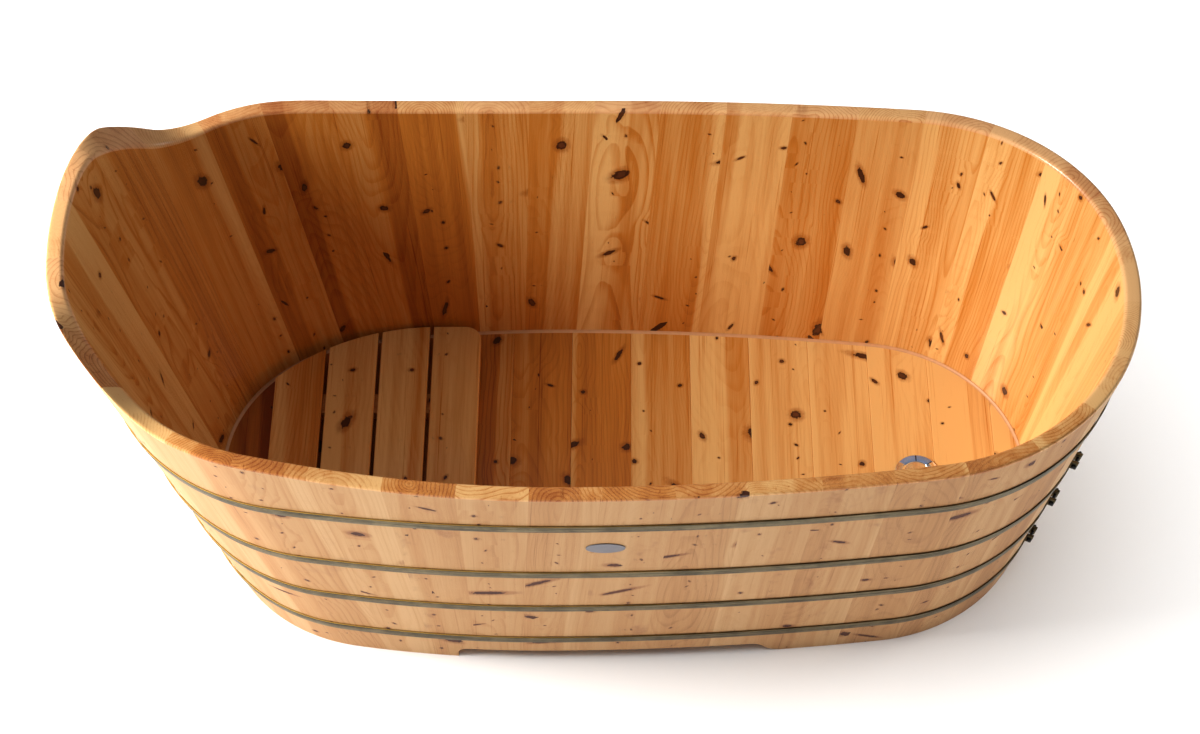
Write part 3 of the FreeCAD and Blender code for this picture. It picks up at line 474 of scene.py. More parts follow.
def strewn_knots(nodes, grain, x, depth, z, live_share, outside):
    """Branch knots strewn over a board. Some are round and some are cut lengthwise, and those
    on the outside of the wall lie more across it."""
    wide, long = grain.knot_across, grain.knot_along
    spot = {"Vector": nodes.vector(x / wide, depth * 14.0, z / long), "Scale": 1.0,
            "Randomness": 0.95}
    cell = nodes.make("ShaderNodeTexVoronoi", {"feature": "F1"}, spot)
    border = nodes.make("ShaderNodeTexVoronoi", {"feature": "DISTANCE_TO_EDGE"}, spot)[0]
    at_x, _, at_z = nodes.parts(cell["Position"])
    red, green, blue = nodes.parts(cell["Color"])
    spread = nodes.maths("FRACT", red * 7.0)
    ragged = (nodes.noise(nodes.vector(x * 190.0, depth * 60.0, z * 190.0), 4.0, 0.7) - 0.5) * 1.5
    lean = green * green
    reach = grain.knot_radius * (0.40 + spread * spread * 0.95)
    reach = reach * (1.0 + lean * (1.3 + outside * 1.3))
    turn = (blue - 0.5) * (2.6 - outside * 1.6)
    core, heart, stain, swell = knot_marks(
        nodes, grain, x - at_x * wide, z - at_z * long, ragged, reach,
        1.0 + lean * (3.4 + outside * 2.4) + outside * 0.6, turn, red < live_share)
    fade = nodes.smooth(border, 0.0, 0.10)
    return core, heart, stain * fade, swell * fade


def pin_knots(nodes, grain, x, z, row, own, live_share):
    """Pin knots in a row along the board, where its pith runs."""
    spacing = grain.pin_spacing
    cell = nodes.make("ShaderNodeTexVoronoi", {"voronoi_dimensions": "1D", "feature": "F1"}, {
        "W": z / spacing + own * 23.0, "Scale": 1.0, "Randomness": 1.0})
    red, green, blue = nodes.parts(cell["Color"])
    along = z - (cell["W"] - own * 23.0) * spacing
    across = x - row - (green - 0.5) * 0.022
    ragged = (nodes.noise(nodes.vector(x * 420.0, own, z * 420.0), 3.0) - 0.5) * 1.5
    return knot_marks(
        nodes, grain, across, along, ragged, grain.pin_radius * (0.45 + blue), 1.0 + green * 1.5,
        (blue - 0.5) * 5.0, red < live_share)


def make_wood(board, mark, colours):
    """Varnished softwood. Board gives the place across, into and along a board, in metres, and
    mark gives its tone, a number of its own and where its end grain shows."""
    nodes = board.nodes
    grain = bpy.context.scene.bathtub_grain
    x, depth, z = nodes.parts(board)
    tone, own, end_grain = nodes.parts(mark)
    first = nodes.chance(own)
    second = nodes.chance(own + 0.37)
    third = nodes.chance(own + 0.71)
    z = z + own * 1.37
    side = x + own * 0.53
    pith_side = (first - 0.5) * 0.10

    def uneven(wide, deep, long, detail=2.0, roughness=0.5):
        """Noise that changes so many times a metre across, into and along the board."""
        place = nodes.vector(side * wide, depth * deep, z * long)
        return nodes.noise(place, detail, roughness)

    # Knots, which differ on the outside of the wall
    outside = nodes.smooth(depth, 0.004, 0.002)
    big = strewn_knots(nodes, grain, side, depth, z, 0.70 - outside * 0.04, outside)
    pins = pin_knots(
        nodes, grain, x, z, pith_side * 0.6, own, outside * 0.27 + 0.08 + second * 0.66)
    core = nodes.maths("MAXIMUM", big[0], pins[0])
    stain = nodes.maths("MAXIMUM", big[2], pins[2] * 0.9)

    # Growth rings round the pith, which runs along the board
    waver = uneven(8.0, 8.0, 1.7) - 0.5
    pith_depth = (second - 0.5) * 0.17 + 0.012
    from_pith = x - pith_side
    drift = nodes.noise(nodes.vector(own * 3.1, 0.0, z * 1.5), 1.0) - 0.5
    into_pith = depth - pith_depth - drift * 0.17
    reach = nodes.span(from_pith, into_pith)
    reach = reach + waver * 0.055 + big[3] * 0.007 + pins[3] * 0.003
    rings = nodes.maths("FRACT", reach / (grain.ring_least + third * grain.ring_spread))
    late = nodes.smooth(rings, 0.30 + second * 0.35, 0.92) * nodes.smooth(rings, 1.0, 0.94)
    contrast = nodes.blend(end_grain, 0.05 + third * third * 0.22, 0.14 + second * 0.34)

    # Shade from 0, pale, to 1, deep
    fibre = uneven(650.0, 650.0, 14.0, 3.0, 0.6)
    hair = uneven(330.0, 120.0, 2.6, 2.0, 0.6)
    streak = uneven(48.0, 48.0, 1.3, 3.0, 0.6)
    patch = uneven(15.0, 15.0, 2.0)
    edge = (second - 0.35) * 0.09
    hand = nodes.maths("SIGN", third - 0.5)
    sapwood = nodes.smooth(x * hand + waver * 0.06, edge, edge + 0.008)
    shade = tone + (patch - 0.5) * grain.patch_weight + (streak - 0.5) * grain.streak_weight
    shade = shade + (fibre - 0.5) * grain.fibre_weight - sapwood * grain.sapwood_weight
    shade = shade + late * contrast + nodes.smooth(hair, 0.62, 0.72) * grain.hair_weight
    runs = nodes.noise(nodes.vector(side * 35.0, 0.0, z * 35.0), 3.0) - 0.5
    rim = nodes.smooth(end_grain + runs * 0.7, 0.42, 0.52)
    shade = shade + stain * (0.14 + outside * 0.18)
    # Painted shade on the rim along the front and painted light on the headrest's rim, by place
    at_x, at_y, _ = nodes.parts(nodes.place())
    front = nodes.smooth(at_y, -0.05, -0.30)
    headrest = nodes.smooth(at_x, -0.50, -0.60)
    shade = shade + rim * ((nodes.chance(own + 0.13) - 0.40) * 0.55 - tone * 0.6)
    shade = shade + rim * (front * grain.front_rim_painted_shade - headrest * grain.headrest_rim_painted_light)

    # Colours of the inside, the outside and the rim
    low = nodes.clamp(shade * 2.0)
    high = nodes.clamp(shade * 2.0 - 1.0)
    inner = nodes.mix(low, colours.inside_pale, colours.inside_mid)
    inner = nodes.mix(high, inner, colours.inside_deep)
    outer = nodes.mix(low, colours.outside_pale, colours.outside_mid)
    outer = nodes.mix(high, outer, colours.outside_deep)
    inside = nodes.maths("MAXIMUM", rim, nodes.smooth(depth, 0.010, 0.013))
    bruise = nodes.smooth(uneven(20.0, 20.0, 16.0, 3.0, 0.6), 0.56, 0.72) * outside
    bruise = bruise * nodes.smooth(nodes.chance(own + 0.19), 0.2, 1.0)
    outer = nodes.mix(bruise * grain.bruise_weight, outer, colours.knot_ring_outside)
    top = nodes.mix(nodes.clamp(shade * 0.85 + 0.14), colours.rim_pale, colours.rim_deep)
    # Along the front the rim also takes more of the inside's deep colours, as part of its painted
    # shade
    top_share = rim * (0.50 + third * 0.36) * (1.0 - front * 0.60)
    wood = nodes.mix(inside, outer, nodes.mix(top_share, inner, top))
    ring_colour = nodes.mix(inside, colours.knot_ring_outside, colours.knot_ring)
    wood = nodes.mix(stain * (grain.stain_weight + outside * 0.04), wood, ring_colour)
    core_colour = nodes.mix(inside, colours.knot_outside, colours.knot)
    dark = nodes.mix(nodes.clamp(big[1] * first * 0.7 + 0.05), core_colour, colours.knot_heart)
    wood = nodes.mix(core, wood, dark)
    relief = fibre * 0.35 - late * 0.4 - core * 1.2
    roughness = nodes.blend(inside, grain.outside_roughness, grain.inside_roughness)
    return nodes.close({
        "Base Color": wood,
        "Roughness": roughness + (fibre - 0.5) * 0.10,
        "Specular IOR Level": grain.specular,
        "Coat Weight": nodes.blend(inside, grain.outside_coat, grain.inside_coat),
        "Coat Roughness": grain.coat_roughness,
        "Normal": nodes.bump(relief, grain.relief_strength, grain.relief_height)})


def make_marked_wood(name, colours):
    """Wood of pieces that carry their board and mark at every point."""
    nodes = Finish(name)
    return make_wood(nodes.attribute("board"), nodes.attribute("mark"), colours)


def make_board_wood(name, colours, axes, board_width, first_joint, tone, tone_spread, painted_shade_fall):
    """Wood of flat boards side by side, worked out from the place on the object. Axes gives the
    numbers of the axes across, into and along a board. The tone falls for each metre across:
    painted shade, deeper towards the first joint."""
    nodes = Finish(name)
    places = nodes.parts(nodes.place())
    across = places[axes[0]] - first_joint
    number = nodes.maths("FLOOR", across / board_width)
    in_board = across - (number + 0.5) * board_width
    board = nodes.vector(in_board, places[axes[1]] * 0.3 + 0.02, places[axes[2]])
    own_tone = tone + (nodes.chance(number + 0.5) - 0.5) * tone_spread
    # Painted shade: the tone deepens towards the first joint
    own_tone = own_tone - (number + 0.5) * (board_width * painted_shade_fall)
    own_tone = nodes.maths("MAXIMUM", own_tone, LEAST_TONE)
    mark = nodes.vector(own_tone, number + FIRST_BOARD_NUMBER, 0.0)
    return make_wood(board, mark, colours)


def scaled(tint, factor):
    """Lighter or darker shade of a colour."""
    return [min(1.0, part * factor) for part in tint]


def make_metal(name, tint, roughness, metallic, scratch):
    """Metal or plain paint with a fine uneven sheen."""
    nodes = Finish(name)
    place = nodes.place()
    cloud = nodes.noise(place * 45.0, 3.0, 0.6)
    fine = nodes.noise(place * 900.0, 2.0)
    return nodes.close({
        "Base Color": nodes.mix(cloud, scaled(tint, 0.88), scaled(tint, 1.08)),
        "Metallic": metallic,
        "Roughness": roughness + (cloud - 0.5) * scratch,
        "Normal": nodes.bump(fine, scratch, 0.0001)})


def make_hoop_metal(colours):
    """Bronzed steel with a painted highlight along its upper edge, which fades towards the foot
    end, and painted shade on faces that look down.
    """
    nodes = Finish("bronzed_hoop")
    place = nodes.place()
    x, y, z = nodes.parts(place)
    up = nodes.parts(nodes.make("ShaderNodeNewGeometry", {}, {})["Normal"])[2]
    cloud = nodes.noise(place * 30.0, 4.0, 0.65)
    brushed = nodes.noise(nodes.vector(x * 9.0, y * 9.0, z * 700.0), 3.0, 0.6)
    # Painted highlight on faces that look up, fading out towards the foot end
    painted_highlight = nodes.smooth(up + (cloud - 0.5) * 0.5, 0.55, 0.90)
    painted_highlight = painted_highlight * nodes.smooth(x + cloud * 0.2, 0.42, -0.22)
    tarnish = nodes.smooth(cloud * 0.3 + brushed * 0.7, 0.38, 0.60)
    face = nodes.mix(tarnish, colours.hoop, scaled(colours.hoop, 0.3))
    # Painted shade on the faces of the band that look down
    face = nodes.mix(nodes.smooth(up, -0.35, -0.75), face, scaled(colours.hoop, 0.1))
    return nodes.close({
        "Base Color": nodes.mix(painted_highlight, face, colours.hoop_edge),
        "Metallic": 0.75,
        "Roughness": 0.42 + (cloud - 0.5) * 0.25,
        "Normal": nodes.bump(cloud, 0.15, 0.0003)})


def make_chrome(colours, middle):
    """Polished chrome round a middle. Its ring carries a painted reflection of the bright sky in
    blocks, with a painted dark gap between two blocks."""
    ring_inside, ring_outside, soft = 0.020, 0.032, 0.0005
    nodes = Finish("chrome")
    place = nodes.place()
    x, y, _ = nodes.parts(place)
    across, along = x - middle.x, y - middle.y
    smear = nodes.noise(place * 60.0, 3.0)
    radius = nodes.span(across, along)
    # Painted reflection: the ring's blocks by their turn, with painted dark gaps between them
    turn = nodes.maths("ABSOLUTE", nodes.maths("ARCTAN2", along, across)) - RIGHT_ANGLE
    block = nodes.smooth(nodes.maths("ABSOLUTE", turn), 0.98, 0.90)
    gap = nodes.smooth(nodes.maths("ABSOLUTE", turn), 0.02, 0.05)
    gap = gap * nodes.smooth(nodes.maths("ABSOLUTE", turn + 0.92), 0.02, 0.07)
    band = nodes.smooth(radius, ring_inside - soft, ring_inside + soft)
    band = band * nodes.smooth(radius, ring_outside + soft, ring_outside - soft)
    sheen = nodes.mix(smear, colours.chrome, scaled(colours.chrome, 0.9))
    painted_reflection = nodes.mix(smear, colours.chrome_painted_reflection, scaled(colours.chrome_painted_reflection, 1.9))
    sheen = nodes.mix(block * band, sheen, nodes.mix(gap, colours.chrome_painted_gap, painted_reflection))
    return nodes.close({
        "Base Color": sheen,
        "Metallic": nodes.blend(block * band, 0.95, 0.25),
        "Roughness": 0.06 + smear * 0.06})


def make_soft_plain(name, tint, roughness):
    """Sealant, rubber or plastic with a faint mottle."""
    nodes = Finish(name)
    mottle = nodes.noise(nodes.place() * 120.0, 3.0)
    return nodes.close({
        "Base Color": nodes.mix(mottle, scaled(tint, 0.85), scaled(tint, 1.1)),
        "Roughness": roughness + (mottle - 0.5) * 0.2,
        "Normal": nodes.bump(mottle, 0.1, 0.0002)})


# Shape of the wall

# Rounds after which the heights of the rim and of the foot have settled
RIM_ROUNDS = 16
FOOT_ROUNDS = 4


class Wall:
    """The wall's outer face is an oval of three arcs in each quarter. It leans outwards, so that
    every arc grows steadily from the ground to the rim."""

    def __init__(self, form):
        self.form = form
        side_foot = math.degrees(form.foot_side_turn)
        corner_foot = math.degrees(form.foot_corner_turn)
        side_head = math.degrees(form.head_side_turn)
        corner_head = math.degrees(form.head_corner_turn)
        self.turns = np.array([
            0.0, side_head, corner_head, HALF_TURN - corner_head, HALF_TURN - side_head, HALF_TURN,
            HALF_TURN + side_foot, HALF_TURN + corner_foot, FULL_TURN - corner_foot,
            FULL_TURN - side_foot, FULL_TURN])
        self.head = self.quarter_radii(
            form.head_side_turn, form.head_corner_turn, form.head_corner_rim_share,
            form.head_corner_base_share, form.rim_head_reach, form.base_head_reach)
        self.foot = self.quarter_radii(
            form.foot_side_turn, form.foot_corner_turn, form.foot_corner_rim_share,
            form.foot_corner_base_share, form.rim_foot_reach, form.base_foot_reach)
        self.shift = 0.0
        self.rim_stations, self.rim_levels = self.rim_line()
        tops = self.top_level([0.0, HALF_TURN], 0.0) - form.rim_round
        ends = self.place([0.0, HALF_TURN], tops, 0.0)
        self.shift = -ends[:, 0].mean()
        lengths = np.radians(np.diff(self.turns)) * self.circles(form.rim_height)[:, 2]
        self.lengths = np.concatenate([[0.0], np.cumsum(lengths)])

    def quarter_radii(self, side_turn, corner_turn, rim_share, base_share, rim_reach, base_reach):
        """Side, corner and end radius of a quarter, on the ground and at the rim."""
        form = self.form
        found = []
        for reach, half_width, corner_share in (
                (base_reach, form.base_half_width, base_share),
                (rim_reach, form.rim_half_width, rim_share)):
            corner = half_width * corner_share
            side_sin, side_cos = math.sin(side_turn), math.cos(side_turn)
            end_sin, end_cos = math.sin(corner_turn), math.cos(corner_turn)
            reach_left = reach - corner * (end_sin - side_sin)
            width_left = half_width - corner * (side_cos - end_cos)
            span = side_sin * end_cos - (1 - end_sin) * (1 - side_cos)
            side = (reach_left * end_cos - width_left * (1 - end_sin)) / span
            end = (width_left * side_sin - reach_left * (1 - side_cos)) / span
            found.append((side, corner, end))
        return np.array(found)

    def circles(self, level):
        """Centre and radius of the ten arcs at each level, anticlockwise from the middle of the
        back, as rows of x, y and radius."""
        form = self.form
        rise = np.asarray(level, float) / form.rim_height
        waist = -form.base_waist_setback * (1 - rise)
        half_width = form.base_half_width + (form.rim_half_width - form.base_half_width) * rise
        quarters = []
        for to_foot, to_back in ((-1, 1), (-1, -1), (1, -1), (1, 1)):
            radii = self.foot if to_foot > 0 else self.head
            side_turn = form.foot_side_turn if to_foot > 0 else form.head_side_turn
            corner_turn = form.foot_corner_turn if to_foot > 0 else form.head_corner_turn
            side, corner, end = [radii[0][n] + (radii[1][n] - radii[0][n]) * rise for n in range(3)]
            side_x, side_y = waist, to_back * (half_width - side)
            corner_x = side_x + to_foot * math.sin(side_turn) * (side - corner)
            corner_y = side_y + to_back * math.cos(side_turn) * (side - corner)
            end_x = corner_x + to_foot * math.sin(corner_turn) * (corner - end)
            end_y = corner_y + to_back * math.cos(corner_turn) * (corner - end)
            quarters.append([
                (side_x, side_y, side), (corner_x, corner_y, corner), (end_x, end_y, end)])
        back_head, front_head, front_foot, back_foot = quarters
        return np.array([*back_head, *front_head[1::-1], *front_foot, *back_foot[1::-1]])

    def place(self, bearing, level, inset):
        """Points of the wall at bearings and levels, an inset inside the outer face."""
        bearing, level, inset = np.broadcast_arrays(
            np.asarray(bearing, float), np.asarray(level, float), np.asarray(inset, float))
        turn = (bearing - QUARTER_TURN) % FULL_TURN
        number = np.searchsorted(self.turns[1:-1], turn, side="right")
        circles = self.circles(level)
        x, y, radius = np.take_along_axis(circles, number[None, None], axis=0)[0]
        angle = np.radians(bearing)
        reach = radius - inset
        return np.stack([
            x + np.cos(angle) * reach + self.shift, y + np.sin(angle) * reach, level], -1)

    def rim_line(self):
        """Line of the rim in the side view, as stations and heights that grow with them."""
        form = self.form
        steps = 24
        lean = form.rim_head_reach - form.base_head_reach - form.base_waist_setback
        lean = lean / form.rim_height
        end_top = form.rim_head_reach + lean * form.headrest_rise
        sweep_station = end_top - form.headrest_depth
        sheer_angle = 2.0 * math.atan2(form.head_sheer_rise, sweep_station)
        sheer_run = sweep_station / math.sin(sheer_angle)
        bend = 1 - math.cos(form.sweep_angle)
        ramp = form.headrest_rise - form.head_sheer_rise
        ramp = ramp - (form.sweep_radius + form.shoulder_radius) * bend
        stretches = [
            (sheer_run * form.head_sheer_share, sheer_angle),
            (sheer_run * (1 - form.head_sheer_share), -sheer_angle),
            (form.sweep_radius, form.sweep_angle),
            (ramp / math.sin(form.sweep_angle), 0.0),
            (form.shoulder_radius, -form.sweep_angle)]
        station, height, slope = 0.0, form.rim_height, 0.0
        head = []
        for length, turn in stretches:
            part = turn / steps
            chord = 2.0 * length * math.sin(abs(part) / 2.0) if turn else length / steps
            for _ in range(steps):
                middle = slope + part / 2.0
                station = station - chord * math.cos(middle)
                height = height + chord * math.sin(middle)
                slope = slope + part
                head.append((station, height))
        reach, rise = form.rim_foot_reach, form.foot_sheer_rise
        radius = (reach ** 2 + rise ** 2) / (2.0 * rise)
        foot = [(x, form.rim_height + radius - math.sqrt(radius ** 2 - x ** 2))
                for x in np.linspace(0.0, reach * 1.1, steps * 2)]
        line = np.array([*reversed(head), *foot])
        return line[:, 0], line[:, 1]

    def top_level(self, bearing, inset):
        """Height of the rim at bearings, an inset inside the outer face."""
        shape = np.broadcast_shapes(np.shape(bearing), np.shape(inset))
        level = np.full(shape, self.form.rim_height)
        for _ in range(RIM_ROUNDS):
            station = self.place(bearing, level, inset)[..., 0] - self.shift
            level = np.interp(station, self.rim_stations, self.rim_levels)
        return level

    def toe_reach(self):
        """Length of the arch's end that curves down to the foot."""
        rounds = self.form.arch_foot_round + self.form.arch_toe_round
        return math.sqrt(rounds ** 2 - (rounds - self.form.arch_height) ** 2)

    def arch_line(self, station):
        """Height of the wall's foot at a station: the ground, or the arch between the feet."""
        form = self.form
        high, toe = form.arch_height, form.arch_toe_round
        start = form.arch_foot_station - self.toe_reach()
        meet = start + self.toe_reach() * form.arch_foot_round / (form.arch_foot_round + toe)
        into = station - form.arch_head_station
        if into < 0 or station > form.arch_foot_station:
            return 0.0
        if into < form.arch_head_round:
            left = form.arch_head_round - into
            return high - form.arch_head_round + math.sqrt(form.arch_head_round ** 2 - left ** 2)
        if station < start:
            return high
        if station < meet:
            past = station - start
            return high - form.arch_foot_round + math.sqrt(form.arch_foot_round ** 2 - past ** 2)
        past = form.arch_foot_station - station
        return toe - math.sqrt(toe ** 2 - past ** 2)

    def foot_level(self, bearing):
        """Height of the wall's foot at a bearing."""
        level = 0.0
        for _ in range(FOOT_ROUNDS):
            level = self.arch_line(self.place(bearing, level, 0.0)[0] - self.shift)
        return level

    def along(self, bearing):
        """Length along the rim from the middle of the back to a bearing."""
        turn = np.asarray(bearing, float) - QUARTER_TURN
        laps = np.floor(turn / FULL_TURN)
        left = np.interp(turn - laps * FULL_TURN, self.turns, self.lengths)
        return left + laps * self.lengths[-1]

    def bearing(self, length):
        """Bearing after a length along the rim from the middle of the back."""
        laps = np.floor(length / self.lengths[-1])
        left = length - laps * self.lengths[-1]
        return QUARTER_TURN + np.interp(left, self.lengths, self.turns) + laps * FULL_TURN

    def columns(self, first, last):
        """Bearings between two, close enough for the wall to look round."""
        steps = math.ceil((self.along(last) - self.along(first)) / self.form.column_step)
        return self.bearing(np.linspace(self.along(first), self.along(last), steps + 1))

    def staves(self):
        """Names and joint bearings of the staves, anticlockwise from the foot end of the back."""
        form = self.form
        run = form.side_stave_count * form.side_stave_width
        back_first = -(form.back_joint_station + run / 2.0)
        head_run = self.lengths[5]
        front_first = head_run + form.front_joint_station - run / 2.0
        runs = [
            ("back", back_first, back_first + run, form.side_stave_count),
            ("head", back_first + run, front_first, form.end_stave_count),
            ("front", front_first, front_first + run, form.side_stave_count),
            ("foot", front_first + run, self.lengths[-1] + back_first, form.end_stave_count)]
        found = []
        for side, start, end, number in runs:
            joints = self.bearing(np.linspace(start, end, number + 1))
            for place in range(number):
                found.append((f"stave_{side}_{place + 1:02d}", joints[place], joints[place + 1]))
        return found


# Mesh helpers

def add_object(name, data):
    """Puts a mesh, a curve, a light or a camera into the scene."""
    made = bpy.data.objects.new(name, data)
    bpy.context.scene.collection.objects.link(made)
    return made


def new_object(name, mesh, material):
    """Puts a finished mesh into the scene."""
    mesh.materials.clear()
    mesh.materials.append(material)
    return add_object(name, mesh)


def finish_piece(piece, body, nodes, smooth_angle=32.0):
    """Smooths a piece, ties it to its body and hides the CAD nodes that it stands for."""
    piece.data.shade_smooth()
    piece.data.set_sharp_from_angle(angle=math.radians(smooth_angle))
    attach(piece, body)
    if nodes:
        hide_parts(*nodes)


class OpenMesh:
    """A mesh that is open for changes, which are written back at the end."""

    def __init__(self, mesh):
        self.mesh = mesh
        self.shell = bmesh.new()

    def __enter__(self):
        self.shell.from_mesh(self.mesh)
        return self.shell

    def __exit__(self, *problem):
        self.shell.to_mesh(self.mesh)
        self.shell.free()


def mesh_from(points, faces, name):
    """Closed mesh whose faces point outwards."""
    mesh = bpy.data.meshes.new(name)
    mesh.from_pydata([tuple(point) for point in points], [], faces)
    with OpenMesh(mesh) as shell:
        bmesh.ops.recalc_face_normals(shell, faces=shell.faces)
    return mesh


def round_edges(shell, edges, offset, segments, **settings):
    """Rounds edges of a mesh that is open for changes."""
    bmesh.ops.bevel(shell, geom=edges, offset=offset, segments=segments, profile=0.5,
                    affect="EDGES", **settings)


def grid_faces(rows, columns, ring_rows, ring_columns):
    """Faces of a grid of points, row by row, that may close on itself either way."""
    faces = []
    for row in range(rows if ring_rows else rows - 1):
        for column in range(columns if ring_columns else columns - 1):
            after = (column + 1) % columns
            below = (row + 1) % rows
            faces.append((row * columns + column, row * columns + after,
                          below * columns + after, below * columns + column))
    return faces


def add_vectors(mesh, name, values):
    """Stores a vector at every point of a mesh."""
    attribute = mesh.attributes.new(name, "FLOAT_VECTOR", "POINT")
    attribute.data.foreach_set("vector", np.asarray(values, np.float32).ravel())


def lathe(outline, sides, name):
    """Closed mesh turned about the Z axis from (radius, height) points, first and last on it
    or the outline closed."""
    on_axis = outline[0][0] == 0 and outline[-1][0] == 0
    rows = outline[1:-1] if on_axis else outline
    points = []
    for radius, height in rows:
        for side in range(sides):
            angle = 2.0 * math.pi * side / sides
            points.append((radius * math.cos(angle), radius * math.sin(angle), height))
    faces = grid_faces(len(rows), sides, not on_axis, True)
    if on_axis:
        points.extend([(0.0, 0.0, outline[0][1]), (0.0, 0.0, outline[-1][1])])
        last = (len(rows) - 1) * sides
        for side in range(sides):
            after = (side + 1) % sides
            faces.append((len(points) - 2, after, side))
            faces.append((len(points) - 1, last + side, last + after))
    return mesh_from(points, faces, name)


def quarter_turns(steps):
    """Angles of a quarter circle in even steps."""
    return np.linspace(0.0, RIGHT_ANGLE, steps + 1)


def quarter_round(radius, steps):
    """Points of a quarter circle as (way in, drop)."""
    return [(radius * (1 - math.cos(turn)), radius * (1 - math.sin(turn)))
            for turn in quarter_turns(steps)]


# Geometry node trees

def tree_with_inputs(name, **inputs):
    """Geometry node tree with named inputs and one geometry out."""
    tree = bpy.data.node_groups.new(name, "GeometryNodeTree")
    nodes = Nodes(tree)
    tree.interface.new_socket("Geometry", in_out="INPUT", socket_type="NodeSocketGeometry")
    for label, kind in inputs.items():
        tree.interface.new_socket(label, in_out="INPUT", socket_type="NodeSocket" + kind)
    tree.interface.new_socket("Geometry", in_out="OUTPUT", socket_type="NodeSocketGeometry")
    return nodes, nodes.make("NodeGroupInput", {}, {})


def stored(nodes, name, kind):
    """Value that the points of a mesh carry."""
    settings = {"data_type": kind}
    return nodes.make("GeometryNodeInputNamedAttribute", settings, {"Name": name})[0]


def close_tree(nodes, geometry, material):
    """Ends a tree with real geometry in one material."""
    real = nodes.make("GeometryNodeRealizeInstances", {}, {"Geometry": geometry})[0]
    painted = nodes.make("GeometryNodeSetMaterial", {}, {"Geometry": real, "Material": material})[0]
    nodes.make("NodeGroupOutput", {}, {"Geometry": painted})
    return nodes.tree


def sweep_tree():
    """Sweeps a profile along a level path and lets it lean as the wall does. The path's points
    carry the way out of the wall and the lean, which is the way out for each metre of height."""
    nodes, given = tree_with_inputs(
        "sweep along wall", Profile="Object", Lean="Float", Finish="Material")
    profile = nodes.make("GeometryNodeObjectInfo", {}, {"Object": given["Profile"]})["Geometry"]
    path = nodes.make("GeometryNodeMeshToCurve", {}, {"Mesh": given["Geometry"]})[0]
    upright = nodes.make("GeometryNodeSetCurveNormal", {"mode": "Z_UP"}, {"Curve": path})[0]
    swept = nodes.make("GeometryNodeCurveToMesh", {}, {
        "Curve": upright, "Profile Curve": profile, "Fill Caps": True})[0]
    out = stored(nodes, "way_out", "FLOAT_VECTOR")
    middle = stored(nodes, "path_height", "FLOAT")
    height = nodes.parts(nodes.make("GeometryNodeInputPosition", {}, {})[0])[2]
    leaning = nodes.make("GeometryNodeSetPosition", {}, {
        "Geometry": swept, "Offset": out * ((height - middle) * given["Lean"])})[0]
    return close_tree(nodes, leaning, given["Finish"])


def repeat_tree():
    """Sets a copy of a piece on every point, turned to the point's own way."""
    nodes, given = tree_with_inputs(
        "pieces on points", Piece="Object", Size="Float", Finish="Material")
    piece = nodes.make("GeometryNodeObjectInfo", {}, {"Object": given["Piece"]})["Geometry"]
    turned = nodes.make("FunctionNodeAlignRotationToVector", {"axis": "Z"}, {
        "Vector": stored(nodes, "way", "FLOAT_VECTOR")})[0]
    copies = nodes.make("GeometryNodeInstanceOnPoints", {}, {
        "Points": given["Geometry"], "Instance": piece, "Rotation": turned,
        "Scale": given["Size"]})[0]
    return close_tree(nodes, copies, given["Finish"])


def grown(name, base_mesh, tree, values, material):
    """Plain mesh object of what a tree makes from a mesh."""
    seed = new_object(name + "_seed", base_mesh, material)
    modifier = seed.modifiers.new("grow", "NODES")
    modifier.node_group = tree
    for item in tree.interface.items_tree:
        if item.in_out == "INPUT" and item.name in values:
            modifier[item.identifier] = values[item.name]
    evaluated = seed.evaluated_get(bpy.context.evaluated_depsgraph_get())
    mesh = bpy.data.meshes.new_from_object(evaluated)
    seed.modifiers.remove(modifier)
    bpy.data.objects.remove(seed)
    for attribute in list(mesh.attributes):
        if attribute.name in ("way", "way_out", "path_height"):
            mesh.attributes.remove(attribute)
    return new_object(name, mesh, material)


def scatter(name, prototype, places, ways, tree, material):
    """Copies of a piece at places, each turned to its way."""
    points = bpy.data.meshes.new(name + "_points")
    points.from_pydata([tuple(place) for place in places], [], [])
    add_vectors(points, "way", [tuple(way) for way in ways])
    pattern = new_object(name + "_pattern", prototype, material)
    made = grown(name, points, tree, {"Piece": pattern, "Size": 1.0, "Finish": material}, material)
    bpy.data.objects.remove(pattern)
    return made


# Pieces

# Tone of each stave, from pale to deep, anticlockwise seen from above
STAVE_TONES = {
    "back": (0.20, 0.36, 0.27, 0.42, 0.33, 0.54, 0.40, 0.56, 0.74, 0.76),
    "head": (0.64, 0.54, 0.56, 0.42, 0.30, 0.26, 0.30, 0.30, 0.36),
    "front": (0.32, 0.26, 0.38, 0.30, 0.40, 0.34, 0.42, 0.40, 0.50, 0.48),
    "foot": (0.50, 0.50, 0.32, 0.20, 0.17, 0.28, 0.18, 0.30, 0.24),
}

# Tones of the seat's slats, from the foot end
SLAT_TONES = (0.22, 0.34, 0.30, 0.42)

# Tone of flat boards, its spread from board to board and how far it falls for each metre across
# them. On the floor this is painted shade, deeper towards the head end where the headrest's shadow
# lies, and partly the boards' own tone
FLOOR_TONES = (0.44, 0.34, 1.20)
BATTEN_TONES = (0.30, 0.10, 0.0)
BEARER_TONES = (0.28, 0.10, 0.0)

# Numbers of the axes across, into and along flat boards
ACROSS_TUB = (0, 2, 1)
ALONG_TUB = (1, 2, 0)

# Roughness, metal share and unevenness of metals
SCREW_SHEEN = (0.32, 0.95, 0.1)
BOLT_SHEEN = (0.38, 0.4, 0.15)
PLATE_SHEEN = (0.50, 0.8, 0.12)

# Roughness of soft pieces
SEALANT_ROUGHNESS = 0.45
RUBBER_ROUGHNESS = 0.6
PLASTIC_ROUGHNESS = 0.5

# Depth into the wood at which a slat's top starts
SLAT_DEPTH = 0.024

